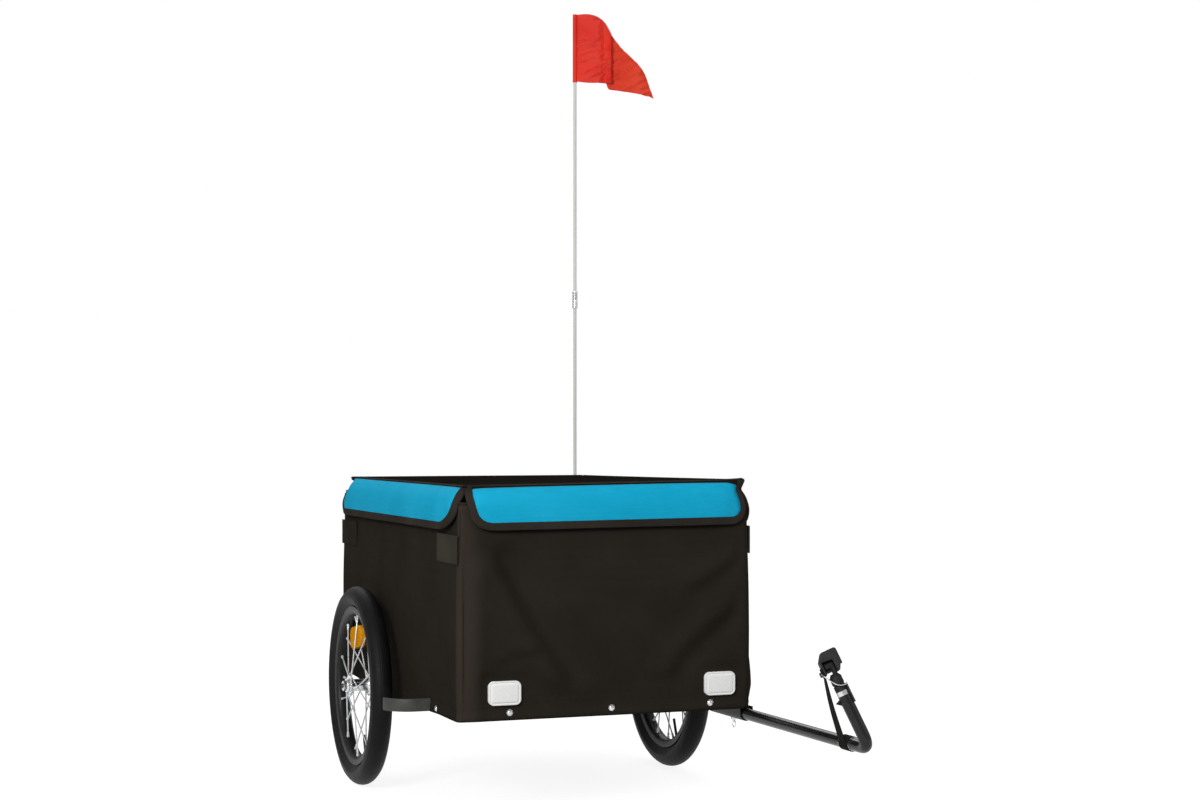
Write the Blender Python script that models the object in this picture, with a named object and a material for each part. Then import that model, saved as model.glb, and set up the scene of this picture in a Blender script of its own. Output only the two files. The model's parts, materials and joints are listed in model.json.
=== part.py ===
# Bicycle cargo trailer: fabric box on a tube frame, two spoked wheels, tow arm and flag.
# Metres, +Z up. The front faces -Y, and the trailer's own left side is +X.
# Places below are measured from the middle of the box's front face, on the ground.
import math

import bmesh
import bpy
from mathutils import Matrix, Vector

# Clearances
SEAT = 0.0003            # gap between pieces that touch
RUN = 0.0005             # gap round a shaft or pin that turns or slides

# Where the row's origin lies in the places below: under the middle of the whole trailer
ORIGIN_X = 0.03135
ORIGIN_Y = 0.22864

# Fabric box
BOX_WIDTH = 0.570
BOX_LENGTH = 0.883
BOX_CORNER = 0.010       # radius of its upright corners
HEM_Z = 0.1925           # lower edge of the walls
WALL_TOP_Z = 0.5880
WALL = 0.0020            # thickness of the walls
FLOOR_CLOTH = 0.0015

# Frame tubes
RAIL = 0.025             # bottom frame, square
RAIL_Z = 0.1925          # underside of the bottom frame
CROSS_BEHIND_AXLE = 0.0537   # middle of the rear cross member
POST = 0.020             # corner posts and top rim, square
POST_WALL = 0.0020
SPIGOT_LENGTH = 0.030
RIM_TOP_Z = 0.5860
FLOOR_PANEL = 0.006

# Cover
COVER = 0.0025           # thickness of its cloth
FLAP_DROP = 0.057
FLAP_CORNER_GAP = 0.010  # from the box's corner to the end of a flap
FLAP_ROUND = 0.036       # radius of the lower corners of a flap
FLAP_BORDER = 0.014      # black edge under a blue panel
FLAP_END_BORDER = 0.019  # and at its ends
FLAP_SWELL = 0.120       # length over which a flap swells out from its ends
FRONT_FLARE = 0.017      # how far the middle of each flap's lower edge stands off the wall
SIDE_FLARE = 0.014
REAR_FLARE = 0.008
TOP_RISE = 0.0235        # from the fold over the wall up to the top sheet
SHOULDER = 0.030         # width of the rounded edge of the top sheet
EAR_SETBACK = 0.012      # how far each raised corner of the top sheet lies inside the fold
CROWN = 0.004            # rise of the top sheet's middle
INSET = 0.0008           # thickness of the blue panels
INSET_CORNER = 0.25      # share of its last squares that each lower corner is drawn in
TAB_LENGTH = 0.130
TAB_HEIGHT = 0.052
TAB_TOP_Z = 0.5260
TAB = 0.0020

# Reflectors on the box
REFLECTOR_WIDTH = 0.064
REFLECTOR_HEIGHT = 0.047
REFLECTOR_DEPTH = 0.006
REFLECTOR_ROUND = 0.008
REFLECTOR_BULGE = 0.0015
REFLECTOR_Z = 0.2405
RIGHT_REFLECTOR_INSET = 0.085    # from the box's right side to the middle of the reflector
LEFT_REFLECTOR_INSET = 0.061
REAR_REFLECTOR_INSET = 0.090
REAR_REFLECTOR_Z = 0.2900

# Wheels
TYRE_GAP = 0.030         # between the box's sides and the tyres
AXLE_Y = 0.530
AXLE_Z = 0.200
TYRE_RADIUS = 0.200
TYRE_WIDTH = 0.044
TYRE_WALL = 0.0035
TYRE_HEIGHT = 0.0400     # from the edge of the rim's flanges out to the tread
RIM_DEPTH = 0.0165
RIM_WIDTH = 0.027
SPOKES = 20
SPOKE_RADIUS = 0.0012
SPOKE_SIDES = 4
NIPPLE_RADIUS = 0.0019
NIPPLE_LENGTH = 0.012
HUB_LENGTH = 0.056
HUB_RADIUS = 0.0125
FLANGE_RADIUS = 0.0230
FLANGE_SPACING = 0.040
FLANGE = 0.0030
BEARING_RADIUS = 0.0100
BEARING_WIDTH = 0.0080
AXLE_RADIUS = 0.0060
AXLE_HEAD_RADIUS = 0.0105
AXLE_HEAD = 0.0060
AXLE_PLUG_DEPTH = 0.048  # how deep the axle goes in its socket
BUTTON_RADIUS = 0.0050
BUTTON_TRAVEL = 0.0030
BUTTON_STEM_RADIUS = 0.0022
BUTTON_STEM = 0.030
TUBE_RADIUS = 0.0125     # section of the inner tube
VALVE_RADIUS = 0.0030
VALVE_LENGTH = 0.040
VALVE_ANGLE = math.radians(-112)
SPOKE_REFLECTOR_LENGTH = 0.088
SPOKE_REFLECTOR_HEIGHT = 0.046
SPOKE_REFLECTOR_DEPTH = 0.010
SPOKE_REFLECTOR_ROUND = 0.014
SPOKE_REFLECTOR_RADIUS = 0.097
SPOKE_REFLECTOR_ANGLE = math.radians(81)

# Axle sockets and wheel guards
CARRIER_LENGTH = 0.074
CARRIER_HEIGHT = 0.050
CARRIER_PLATE = 0.005
SOCKET_RADIUS = 0.0125
GUARD_HEIGHT = 0.024
GUARD_BAR = 0.005
GUARD_Y = 0.183
GUARD_Z = 0.201
GUARD_STRAIGHT = 0.030
GUARD_BEND = 0.052
GUARD_TURN = math.radians(80)

# Tow arm, from its rear end to its corner and up to its tip
ARM_RADIUS = 0.011
ARM_WALL = 0.0018
ARM_Z = 0.178
ARM_REAR_INSET = 0.0028  # how far the rear end lies inside the box's side
ARM_REAR_Y = 0.165
ARM_CORNER_OUT = 0.0154  # how far the corner lies outside the box's side
ARM_CORNER_Y = -0.4565
ARM_BEND = 0.019
TIP_AXIS = Vector((-0.322, 0.330, 0.887)).normalized()
TIP_ACROSS = Vector((0.9365, -0.3506, 0.0))
TIP_LENGTH = 0.0985      # from the corner to the end of the tube
BRACKET_LENGTH = 0.150
BRACKET_WALL = 0.0026
BRACKET_DEPTH = 0.020
LOCK_PIN_RADIUS = 0.0040
LOCK_PIN_Y = 0.066
LOCK_PIN_HEAD = 0.0050
LOCK_PIN_EYE = 0.0060
PULL_RING_RADIUS = 0.0065
PULL_RING_WIRE = 0.0009

# Coupling on the tow arm's tip, from the tube's end upward
SLEEVE_LENGTH = 0.035
SLEEVE_ABOVE_TUBE = 0.0185
SLEEVE_WALL = 0.0030
LUG_BELOW_TUBE = 0.0148  # from the tube's end down to the lug's foot
LUG_LENGTH = 0.012       # pointed strap lug beside the tube
LUG_REACH = 0.0096
LUG_PLATE = 0.0030
COLLAR_LENGTH = 0.0080
FLEX_RADIUS = 0.0108
FLEX_FOOT = 0.0100
FLEX_LENGTH = 0.032
FLEX_SHOULDER = 0.0060    # height of the slope at its upper end, which clears the tilted cheeks
FLEX_NECK_RADIUS = 0.0063
PIN_ABOVE_NECK = 0.0066
TONGUE_DEPTH = 0.012
TONGUE_INNER = 0.0105    # how far the tongue reaches inward above the pin
TONGUE_WAIST = 0.0010    # and at the pin
TONGUE_OUTER = 0.0066
TONGUE_TOP = 0.0138      # above the pin
TONGUE_STEP = 0.0040     # from the pin up to the wider part
HEAD_DEPTH = 0.026
HEAD_OUTER = 0.0206      # face of the outer cheek, from the arm's axis
HEAD_INNER = 0.0159      # face of the inner cheek
HEAD_TOP = 0.0340        # above the pin
HEAD_TOP_INNER = 0.0062  # inner end of the head's top
HEAD_ROUND = 0.0045
HEAD_CAP = 0.0180        # depth of the cap over the outer cheek
HEAD_CAP_INNER = 0.0158  # and over the inner cheek
HEAD_SHOULDER = 0.0200   # above the pin, where the cap's inner end starts to slope
CHEEK_INNER = 0.0035
CHEEK_DROP = 0.0055      # how far the cheeks reach below the hitch pin
CHEEK_TOE = 0.0118       # outer face of the outer cheek at its foot
HITCH_PIN_RADIUS = 0.0025
HITCH_PIN_HEAD = 0.0046
HITCH_PIN_END = 0.0125   # how far the pin reaches past the arm's axis
BAIL_WIRE = 0.0010

# Safety strap
STRAP_WIDTH = 0.023
STRAP = 0.0016
STRAP_TOP = 0.010        # above the hitch pin
STRAP_WRAP_Y = -0.3845   # middle of the wrap on the arm
STRAP_WRAP_LENGTH = 0.030
BAND_LENGTH = 0.036
BAND = 0.0008

# Flag
POLE_INSET = 0.0207      # from the box's left side
POLE_STANDOFF = 0.027    # behind the box's rear wall
POLE_RADIUS = 0.0038
POLE_BASE_Z = 0.2050
POLE_TOP_Z = 1.6755
FERRULE_Z = 0.9980
FERRULE_LENGTH = 0.039
FERRULE_RADIUS = 0.0052
SOCKET_TUBE_RADIUS = 0.0065
SOCKET_HEIGHT = 0.090
FLAG_HOIST = 0.156
FLAG_CLOTH = 0.0010
FLAG_HEADING = Vector((0.930, -0.367, 0.0))
FLAG_CREASE = 0.083      # from the pole to the upright fold
FLAG_SWAY = 0.010        # how far the fold stands off the flag's plane
# Drooping edges of the flag: distance from the pole, drop below the pole's top
FLAG_TOP = [(0.000, 0.001), (0.024, 0.003), (0.051, 0.013), (0.077, 0.045), (0.098, 0.076),
            (0.130, 0.105), (0.162, 0.135), (0.181, 0.1935)]
FLAG_BOTTOM = [(0.000, 0.157), (0.035, 0.1635), (0.088, 0.177), (0.181, 0.1955)]

# Sides of round pieces
FINE = 44
MEDIUM = 18
COARSE = 12

# Sizes that follow from the ones above
HALF_WIDTH = BOX_WIDTH / 2
FRAME_SIDE = HALF_WIDTH - WALL - SEAT
FRAME_FRONT = WALL + SEAT
FRAME_REAR = BOX_LENGTH - WALL - SEAT
RAIL_TOP_Z = RAIL_Z + RAIL
PANEL_Z = RAIL_TOP_Z + SEAT
CLOTH_Z = PANEL_Z + FLOOR_PANEL + SEAT
COVER_Z = WALL_TOP_Z + 2 * SEAT + COVER / 2
COVER_HANG = SEAT + COVER / 2
WHEEL_X = HALF_WIDTH + TYRE_GAP + TYRE_WIDTH / 2
RIM_RADIUS = TYRE_RADIUS - TYRE_HEIGHT
RIM_INNER = RIM_RADIUS - RIM_DEPTH
ARM_REAR = Vector((HALF_WIDTH - ARM_REAR_INSET, ARM_REAR_Y, ARM_Z))
ARM_CORNER = Vector((HALF_WIDTH + ARM_CORNER_OUT, ARM_CORNER_Y, ARM_Z))
POLE_X = HALF_WIDTH - POLE_INSET
POLE_Y = BOX_LENGTH + POLE_STANDOFF


def clear_scene():
    for obj in list(bpy.data.objects):
        bpy.data.objects.remove(obj, do_unlink=True)


def make_root():
    root = bpy.data.objects.new("trailer_root", None)
    root.location = (-ORIGIN_X, -ORIGIN_Y, 0.0)
    bpy.context.collection.objects.link(root)
    return root


clear_scene()
ROOT = make_root()


def material(name, colour, roughness, metallic=0.0):
    mat = bpy.data.materials.new(name)
    mat.use_nodes = True
    shader = mat.node_tree.nodes["Principled BSDF"]
    shader.inputs["Base Color"].default_value = (*colour, 1.0)
    shader.inputs["Roughness"].default_value = roughness
    shader.inputs["Metallic"].default_value = metallic
    return mat


BLACK_CLOTH = material("black_cloth", (0.022, 0.019, 0.016), 0.80)
BLUE_CLOTH = material("blue_cloth", (0.013, 0.380, 0.630), 0.60)
WEBBING = material("webbing", (0.012, 0.012, 0.012), 0.75)
FLAG_RED = material("flag_red", (0.760, 0.030, 0.012), 0.40)
BLACK_STEEL = material("black_steel", (0.030, 0.030, 0.030), 0.40)
BARE_STEEL = material("bare_steel", (0.620, 0.630, 0.640), 0.28, 1.0)
RUBBER = material("rubber", (0.018, 0.018, 0.018), 0.70)
BLACK_PLASTIC = material("black_plastic", (0.030, 0.030, 0.030), 0.50)
WHITE_PLASTIC = material("white_plastic", (0.740, 0.740, 0.730), 0.25)
RED_PLASTIC = material("red_plastic", (0.550, 0.010, 0.008), 0.25)
ORANGE_PLASTIC = material("orange_plastic", (0.780, 0.250, 0.020), 0.25)
POLE_WHITE = material("pole_white", (0.700, 0.700, 0.660), 0.40)
BOARD = material("board", (0.050, 0.048, 0.045), 0.70)


def add_object(name, bm, mat, pivot=(0.0, 0.0, 0.0), smooth=True):
    """Turn a bmesh in box coordinates into an object whose origin is at pivot."""
    bmesh.ops.recalc_face_normals(bm, faces=bm.faces)
    bmesh.ops.translate(bm, verts=bm.verts, vec=-Vector(pivot))
    mesh = bpy.data.meshes.new(name)
    bm.to_mesh(mesh)
    bm.free()
    if smooth:
        mesh.shade_smooth()
        mesh.set_sharp_from_angle(angle=math.radians(35))
    mesh.materials.append(mat)
    obj = bpy.data.objects.new(name, mesh)
    obj.location = pivot
    obj.parent = ROOT
    bpy.context.collection.objects.link(obj)
    return obj


def boolean(target, other, operation):
    """Cut or join another object, which then no longer counts as a piece."""
    other.hide_render = True
    other.display_type = "WIRE"
    modifier = target.modifiers.new(other.name, "BOOLEAN")
    modifier.operation = operation
    modifier.solver = "EXACT"
    modifier.object = other


def cut(target, *cutters):
    for cutter in cutters:
        boolean(target, cutter, "DIFFERENCE")


def join(target, *pieces):
    for piece in pieces:
        boolean(target, piece, "UNION")


def box_bmesh(low, high, bevel=0.0):
    bm = bmesh.new()
    bmesh.ops.create_cube(bm, size=1.0)
    low, high = Vector(low), Vector(high)
    bmesh.ops.scale(bm, verts=bm.verts, vec=high - low)
    bmesh.ops.translate(bm, verts=bm.verts, vec=(low + high) / 2)
    if bevel > 0:
        bmesh.ops.bevel(bm, geom=bm.edges[:], offset=bevel, segments=1, affect="EDGES")
    return bm


def box(name, low, high, mat=BLACK_STEEL, bevel=0.0, pivot=(0.0, 0.0, 0.0)):
    return add_object(name, box_bmesh(low, high, bevel), mat, pivot, smooth=False)


def corner_arc(centre, radius, start, steps):
    quarter = math.pi / 2
    angles = [start + quarter * i / steps for i in range(steps + 1)]
    return [(centre[0] + radius * math.cos(a), centre[1] + radius * math.sin(a)) for a in angles]


def rounded_rectangle(x0, x1, y0, y1, radius, steps=3):
    r = radius
    points = corner_arc((x1 - r, y1 - r), r, 0.0, steps)
    points += corner_arc((x0 + r, y1 - r), r, math.pi / 2, steps)
    points += corner_arc((x0 + r, y0 + r), r, math.pi, steps)
    points += corner_arc((x1 - r, y0 + r), r, 1.5 * math.pi, steps)
    return points


def prism_bmesh(outline, z0, z1):
    bm = bmesh.new()
    face = bm.faces.new([bm.verts.new((x, y, z0)) for x, y in outline])
    raised = bmesh.ops.extrude_face_region(bm, geom=[face])["geom"]
    moved = [part for part in raised if isinstance(part, bmesh.types.BMVert)]
    bmesh.ops.translate(bm, verts=moved, vec=(0, 0, z1 - z0))
    return bm


def prism(name, outline, z0, z1, mat=BLACK_STEEL, pivot=(0.0, 0.0, 0.0)):
    return add_object(name, prism_bmesh(outline, z0, z1), mat, pivot)


def rounded_block(name, x_span, y_span, z_span, radius, mat=BLACK_STEEL, steps=3):
    outline = rounded_rectangle(*x_span, *y_span, radius, steps)
    return prism(name, outline, *z_span, mat)


def axis_matrix(origin, axis, side=(0.0, 0.0, 1.0)):
    """A frame at origin with its Z along axis and its X as close to side as it can be."""
    z = Vector(axis).normalized()
    x = Vector(side) - z * z.dot(Vector(side))
    if x.length < 1e-6:
        x = Vector((1.0, 0.0, 0.0)) - z * z.x
    x.normalize()
    y = z.cross(x)
    rotation = Matrix((x, y, z)).transposed()
    return Matrix.Translation(Vector(origin)) @ rotation.to_4x4()


def turned_bmesh(profile, segments, matrix, phase=0.0):
    """Spin a closed profile of (radius, height) points about the matrix's Z axis."""
    bm = bmesh.new()
    turn = Matrix.Rotation(phase, 3, "Z")
    ring = [bm.verts.new(turn @ Vector((radius, 0.0, height))) for radius, height in profile]
    edges = [bm.edges.new(pair) for pair in zip(ring, ring[1:] + ring[:1])]
    bmesh.ops.spin(bm, geom=ring + edges, cent=(0, 0, 0), axis=(0, 0, 1), angle=2 * math.pi,
                   steps=segments, use_merge=True)
    bmesh.ops.remove_doubles(bm, verts=bm.verts, dist=1e-6)
    lone = [edge for edge in bm.edges if not edge.link_faces]
    bmesh.ops.delete(bm, geom=lone, context="EDGES")
    bmesh.ops.transform(bm, matrix=matrix, verts=bm.verts)
    return bm


def turned(name, profile, segments, matrix, mat, pivot=(0.0, 0.0, 0.0), phase=0.0):
    return add_object(name, turned_bmesh(profile, segments, matrix, phase), mat, pivot)


def cylinder(name, start, end, radius, segments=MEDIUM, mat=BLACK_STEEL, pivot=(0.0, 0.0, 0.0)):
    start, end = Vector(start), Vector(end)
    length = (end - start).length
    profile = [(0.0, 0.0), (radius, 0.0), (radius, length), (0.0, length)]
    return turned(name, profile, segments, axis_matrix(start, end - start), mat, pivot)


def path_frames(points, normal, closed=False):
    """Tangent and normal at each point, the normal carried along without twist."""
    frames = []
    normal = Vector(normal)
    count = len(points)
    for i, point in enumerate(points):
        before = points[(i - 1) % count] if closed or i > 0 else point
        after = points[(i + 1) % count] if closed or i < count - 1 else point
        tangent = (after - before).normalized()
        normal = (normal - tangent * tangent.dot(normal)).normalized()
        frames.append((tangent, normal.copy()))
    return frames


def swept_bmesh(points, section, normal=(0.0, 0.0, 1.0), closed=False, twists=None):
    """Carry a closed section of (along normal, across) points along a path."""
    bm = bmesh.new()
    rings = []
    for i, (tangent, up) in enumerate(path_frames(points, normal, closed)):
        if twists:
            up = Matrix.Rotation(twists[i], 3, tangent) @ up
        across = tangent.cross(up)
        rings.append([bm.verts.new(points[i] + up * u + across * v) for u, v in section])
    pairs = list(zip(rings, rings[1:] + rings[:1])) if closed else list(zip(rings, rings[1:]))
    for a, b in pairs:
        for i in range(len(section)):
            j = (i + 1) % len(section)
            bm.faces.new((a[i], a[j], b[j], b[i]))
    if not closed:
        bm.faces.new(rings[0])
        bm.faces.new(rings[-1])
    return bm


def swept(name, points, section, mat, normal=(0.0, 0.0, 1.0), closed=False, twists=None,
          pivot=(0.0, 0.0, 0.0)):
    bm = swept_bmesh(points, section, normal, closed, twists)
    return add_object(name, bm, mat, pivot)


def circle_section(radius, sides):
    angles = [2 * math.pi * (i + 0.5) / sides for i in range(sides)]
    return [(radius * math.cos(a), radius * math.sin(a)) for a in angles]


def bar_section(thickness, width):
    t, w = thickness / 2, width / 2
    return [(-t, -w), (t, -w), (t, w), (-t, w)]


def fillet_path(start, corner, end, radius, steps):
    """Start, an arc of the given radius that rounds the corner, end."""
    into = (corner - start).normalized()
    out = (end - corner).normalized()
    turn = into.angle(out)
    reach = radius * math.tan(turn / 2)
    centre_way = (out - into).normalized()
    centre = corner + centre_way * (radius / math.cos(turn / 2))
    first = corner - into * reach
    axis = into.cross(out).normalized()
    points = [start]
    for i in range(steps + 1):
        points.append(centre + Matrix.Rotation(turn * i / steps, 3, axis) @ (first - centre))
    points.append(end)
    return points


# Bottom frame

def post_centres():
    half = POST / 2
    xs = (-(FRAME_SIDE - half), FRAME_SIDE - half)
    ys = {"front": FRAME_FRONT + half, "rear": FRAME_REAR - half}
    return {f"{end}_{side}": (x, y)
            for end, y in ys.items() for side, x in zip(("right", "left"), xs)}


def square_tube(name, centre, half, z0, z1, radius):
    x, y = centre
    return rounded_block(name, (x - half, x + half), (y - half, y + half), (z0, z1), radius, steps=2)


def spigot(name, centre, z0, z1):
    shrink = POST_WALL + RUN
    return square_tube(name, centre, POST / 2 - shrink, z0, z1, BOX_CORNER - WALL - shrink)


def make_base_frame():
    frame = rounded_block("base_frame", (-FRAME_SIDE, FRAME_SIDE), (FRAME_FRONT, FRAME_REAR),
                          (RAIL_Z, RAIL_TOP_Z), BOX_CORNER - WALL)
    first, last = FRAME_FRONT + RAIL / 2, FRAME_REAR - RAIL / 2
    rear_cross = AXLE_Y + CROSS_BEHIND_AXLE
    bars = [first, (first + rear_cross) / 2, rear_cross, last]
    side = FRAME_SIDE - RAIL
    for i, (near, far) in enumerate(zip(bars, bars[1:])):
        cut(frame, box(f"bay_{i}", (-side, near + RAIL / 2, RAIL_Z - 0.01),
                       (side, far - RAIL / 2, RAIL_TOP_Z + 0.01)))
    for name, centre in post_centres().items():
        join(frame, spigot(f"base_spigot_{name}", centre, RAIL_TOP_Z - RAIL / 4,
                           RAIL_TOP_Z + SPIGOT_LENGTH))
    for side in (-1, 1):
        cut(frame, cylinder(f"axle_hole_{side}", (side * (FRAME_SIDE - RAIL - 0.01), AXLE_Y, AXLE_Z),
                            (side * (FRAME_SIDE + 0.01), AXLE_Y, AXLE_Z), AXLE_RADIUS + 2 * RUN))
    return frame


def make_posts():
    top = RIM_TOP_Z - POST - SEAT
    corner = BOX_CORNER - WALL
    for name, centre in post_centres().items():
        post = square_tube(f"post_{name}", centre, POST / 2, RAIL_TOP_Z + SEAT, top, corner)
        cut(post, square_tube(f"post_bore_{name}", centre, POST / 2 - POST_WALL,
                              RAIL_TOP_Z - 0.01, top + 0.01, corner - POST_WALL))


def make_top_rim():
    rim = rounded_block("top_rim", (-FRAME_SIDE, FRAME_SIDE), (FRAME_FRONT, FRAME_REAR),
                        (RIM_TOP_Z - POST, RIM_TOP_Z), BOX_CORNER - WALL)
    cut(rim, rounded_block("rim_hole", (-(FRAME_SIDE - POST), FRAME_SIDE - POST),
                           (FRAME_FRONT + POST, FRAME_REAR - POST),
                           (RIM_TOP_Z - POST - 0.01, RIM_TOP_Z + 0.01), 0.004))
    for name, centre in post_centres().items():
        join(rim, spigot(f"rim_spigot_{name}", centre, RIM_TOP_Z - POST - SPIGOT_LENGTH,
                         RIM_TOP_Z - POST + POST / 4))


def post_notches(prefix, z0, z1):
    """Cutters that let the posts through the floor, out to the inner faces of the walls."""
    cutters = []
    for name, (x, y) in post_centres().items():
        wall_x = math.copysign(HALF_WIDTH - WALL, x)
        wall_y = WALL if name.startswith("front") else BOX_LENGTH - WALL
        inner_x = x - math.copysign(POST / 2 + RUN, x)
        inner_y = y + math.copysign(POST / 2 + RUN, y - wall_y)
        x_span, y_span = sorted((wall_x, inner_x)), sorted((wall_y, inner_y))
        cutters.append(rounded_block(f"{prefix}_{name}", x_span, y_span, (z0, z1), BOX_CORNER - WALL))
    return cutters


def make_floor_panel():
    top = PANEL_Z + FLOOR_PANEL
    panel = rounded_block("floor_panel", (-FRAME_SIDE, FRAME_SIDE), (FRAME_FRONT, FRAME_REAR),
                          (PANEL_Z, top), BOX_CORNER - WALL, BOARD)
    cut(panel, *post_notches("panel_notch", PANEL_Z - 0.01, top + 0.01))


# Fabric box

def make_tub():
    tub = rounded_block("tub", (-HALF_WIDTH, HALF_WIDTH), (0.0, BOX_LENGTH),
                        (HEM_Z, WALL_TOP_Z), BOX_CORNER, BLACK_CLOTH)
    inner_x = (-(HALF_WIDTH - WALL), HALF_WIDTH - WALL)
    inner_y = (WALL, BOX_LENGTH - WALL)
    inner_corner = BOX_CORNER - WALL
    cut(tub,
        rounded_block("tub_load_space", inner_x, inner_y,
                      (CLOTH_Z + FLOOR_CLOTH, WALL_TOP_Z + 0.01), inner_corner),
        rounded_block("tub_under_space", inner_x, inner_y, (HEM_Z - 0.01, CLOTH_Z), inner_corner))
    cut(tub, *post_notches("cloth_notch", CLOTH_Z - 0.002, CLOTH_Z + FLOOR_CLOTH + 0.002))
    for side in (-1, 1):
        x0, x1 = sorted((side * (HALF_WIDTH - 0.01), side * (HALF_WIDTH + 0.01)))
        reach = CARRIER_LENGTH / 2 + RUN
        top = AXLE_Z + CARRIER_HEIGHT / 2 + RUN
        cut(tub, box(f"carrier_slot_{side}", (x0, AXLE_Y - reach, HEM_Z - 0.01),
                     (x1, AXLE_Y + reach, min(top, CLOTH_Z - SEAT))))
        bar = GUARD_BAR / 2 + RUN
        cut(tub, box(f"guard_slot_{side}", (x0, GUARD_Y - bar, HEM_Z - 0.01),
                     (x1, GUARD_Y + bar, GUARD_Z + GUARD_HEIGHT / 2 + RUN)))
    return tub


# Cover: a top sheet with a flap on each side

FLAP_SPANS = {"front": 7, "rear": 7, "left": 9, "right": 9}
FLAPS = {
    "front": (Vector((0, -1, 0)), FRONT_FLARE),
    "rear": (Vector((0, 1, 0)), REAR_FLARE),
    "left": (Vector((1, 0, 0)), SIDE_FLARE),
    "right": (Vector((-1, 0, 0)), SIDE_FLARE),
}


def flap_stops(low, high, spans):
    """Places along a flap: close together over its rounded ends, even between them."""
    ends = [0.0, FLAP_ROUND * 0.2, FLAP_END_BORDER, FLAP_ROUND]
    first, last = low + FLAP_ROUND, high - FLAP_ROUND
    middle = [first + (last - first) * i / spans for i in range(1, spans)]
    return [low + end for end in ends] + middle + [high - end for end in reversed(ends)]


def cover_lines():
    """Where the top sheet's rows and columns lie, fold lines included."""
    gap = FLAP_CORNER_GAP
    fold_x = HALF_WIDTH + COVER_HANG
    xs = flap_stops(-HALF_WIDTH + gap, HALF_WIDTH - gap, FLAP_SPANS["front"])
    ys = flap_stops(gap, BOX_LENGTH - gap, FLAP_SPANS["left"])
    return [-fold_x] + xs + [fold_x], [-COVER_HANG] + ys + [BOX_LENGTH + COVER_HANG]


def top_sheet_point(x, y):
    """The top sheet rises over a rounded shoulder and is slightly crowned."""
    u = 1 - (x / HALF_WIDTH) ** 2
    v = 1 - (2 * y / BOX_LENGTH - 1) ** 2
    to_side = HALF_WIDTH + COVER_HANG - abs(x)
    to_end = BOX_LENGTH / 2 + COVER_HANG - abs(y - BOX_LENGTH / 2)
    inside = min(1.0, max(0.0, min(to_side, to_end)) / SHOULDER)
    rise = TOP_RISE * math.sin(inside * math.pi / 2)
    return Vector((x, y, COVER_Z + rise + CROWN * max(0.0, u) * max(0.0, v)))


def flap_columns(side):
    xs, ys = cover_lines()
    if side in ("front", "rear"):
        y = ys[0] if side == "front" else ys[-1]
        return [Vector((x, y, COVER_Z)) for x in xs[1:-1]]
    x = xs[-1] if side == "left" else xs[0]
    return [Vector((x, y, COVER_Z)) for y in ys[1:-1]]


def flap_length(from_end):
    """Drop of a flap at a distance from its end, shorter over the rounded corner."""
    inside = max(0.0, FLAP_ROUND - from_end)
    rise = FLAP_ROUND - math.sqrt(FLAP_ROUND ** 2 - inside ** 2)
    return FLAP_DROP - rise


def flap_grid(side):
    """Rows of points: half way down the panel, its lower edge and the flap's lower edge."""
    outward, flare = FLAPS[side]
    columns = flap_columns(side)
    lines = []
    for fold in columns:
        from_end = min((fold - columns[0]).length, (fold - columns[-1]).length)
        swell = math.sin(min(1.0, from_end / FLAP_SWELL) * math.pi / 2)
        length = flap_length(from_end)
        panel = max(length - FLAP_BORDER, length / 2)
        line = []
        for drop in (panel / 2, panel, length):
            stand_off = (flare - COVER_HANG) * swell * math.sin(drop / FLAP_DROP * math.pi / 2)
            line.append(Vector((fold.x, fold.y, COVER_Z - drop)) + outward * stand_off)
        lines.append(line)
    return [list(row) for row in zip(*lines)]


def shoulder_grid(side):
    """Rows of points of the top sheet over a flap, from the shoulder out to the fold."""
    xs, ys = cover_lines()
    near = slice(0, 3) if side in ("front", "right") else slice(-1, -4, -1)
    if side in ("front", "rear"):
        rows = [[top_sheet_point(x, y) for x in xs[1:-1]] for y in ys[near]]
    else:
        rows = [[top_sheet_point(x, y) for y in ys[1:-1]] for x in xs[near]]
    return rows[::-1]


def add_grid_faces(bm, rows):
    """Triangles, all split the same way, so that one grid laid on another keeps its distance."""
    for upper, lower in zip(rows, rows[1:]):
        for i in range(len(upper) - 1):
            bm.faces.new((upper[i], upper[i + 1], lower[i + 1]))
            bm.faces.new((upper[i], lower[i + 1], lower[i]))


def solidify(obj, thickness, offset=0.0):
    modifier = obj.modifiers.new("cloth_thickness", "SOLIDIFY")
    modifier.thickness = thickness
    modifier.offset = offset
    modifier.use_even_offset = True


def make_cover():
    bm = bmesh.new()
    xs, ys = cover_lines()
    top = {}
    for i, x in enumerate(xs):
        for j, y in enumerate(ys):
            point = top_sheet_point(x, y)
            if i in (0, len(xs) - 1) and j in (0, len(ys) - 1):
                inward = Vector((-x, BOX_LENGTH / 2 - y, 0.0))
                point.x += math.copysign(EAR_SETBACK, inward.x)
                point.y += math.copysign(EAR_SETBACK, inward.y)
                point.z += TOP_RISE
            top[i, j] = bm.verts.new(point)
    for j in range(len(ys) - 1):
        for i in range(len(xs) - 1):
            bm.faces.new((top[i, j], top[i + 1, j], top[i + 1, j + 1], top[i, j + 1]))
    edges = {
        "front": [top[i, 0] for i in range(1, len(xs) - 1)],
        "rear": [top[i, len(ys) - 1] for i in range(1, len(xs) - 1)],
        "left": [top[len(xs) - 1, j] for j in range(1, len(ys) - 1)],
        "right": [top[0, j] for j in range(1, len(ys) - 1)],
    }
    for side, edge in edges.items():
        rows = [edge] + [[bm.verts.new(p) for p in line] for line in flap_grid(side)]
        add_grid_faces(bm, rows)
    cover = add_object("cover", bm, BLACK_CLOTH)
    solidify(cover, COVER)


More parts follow.
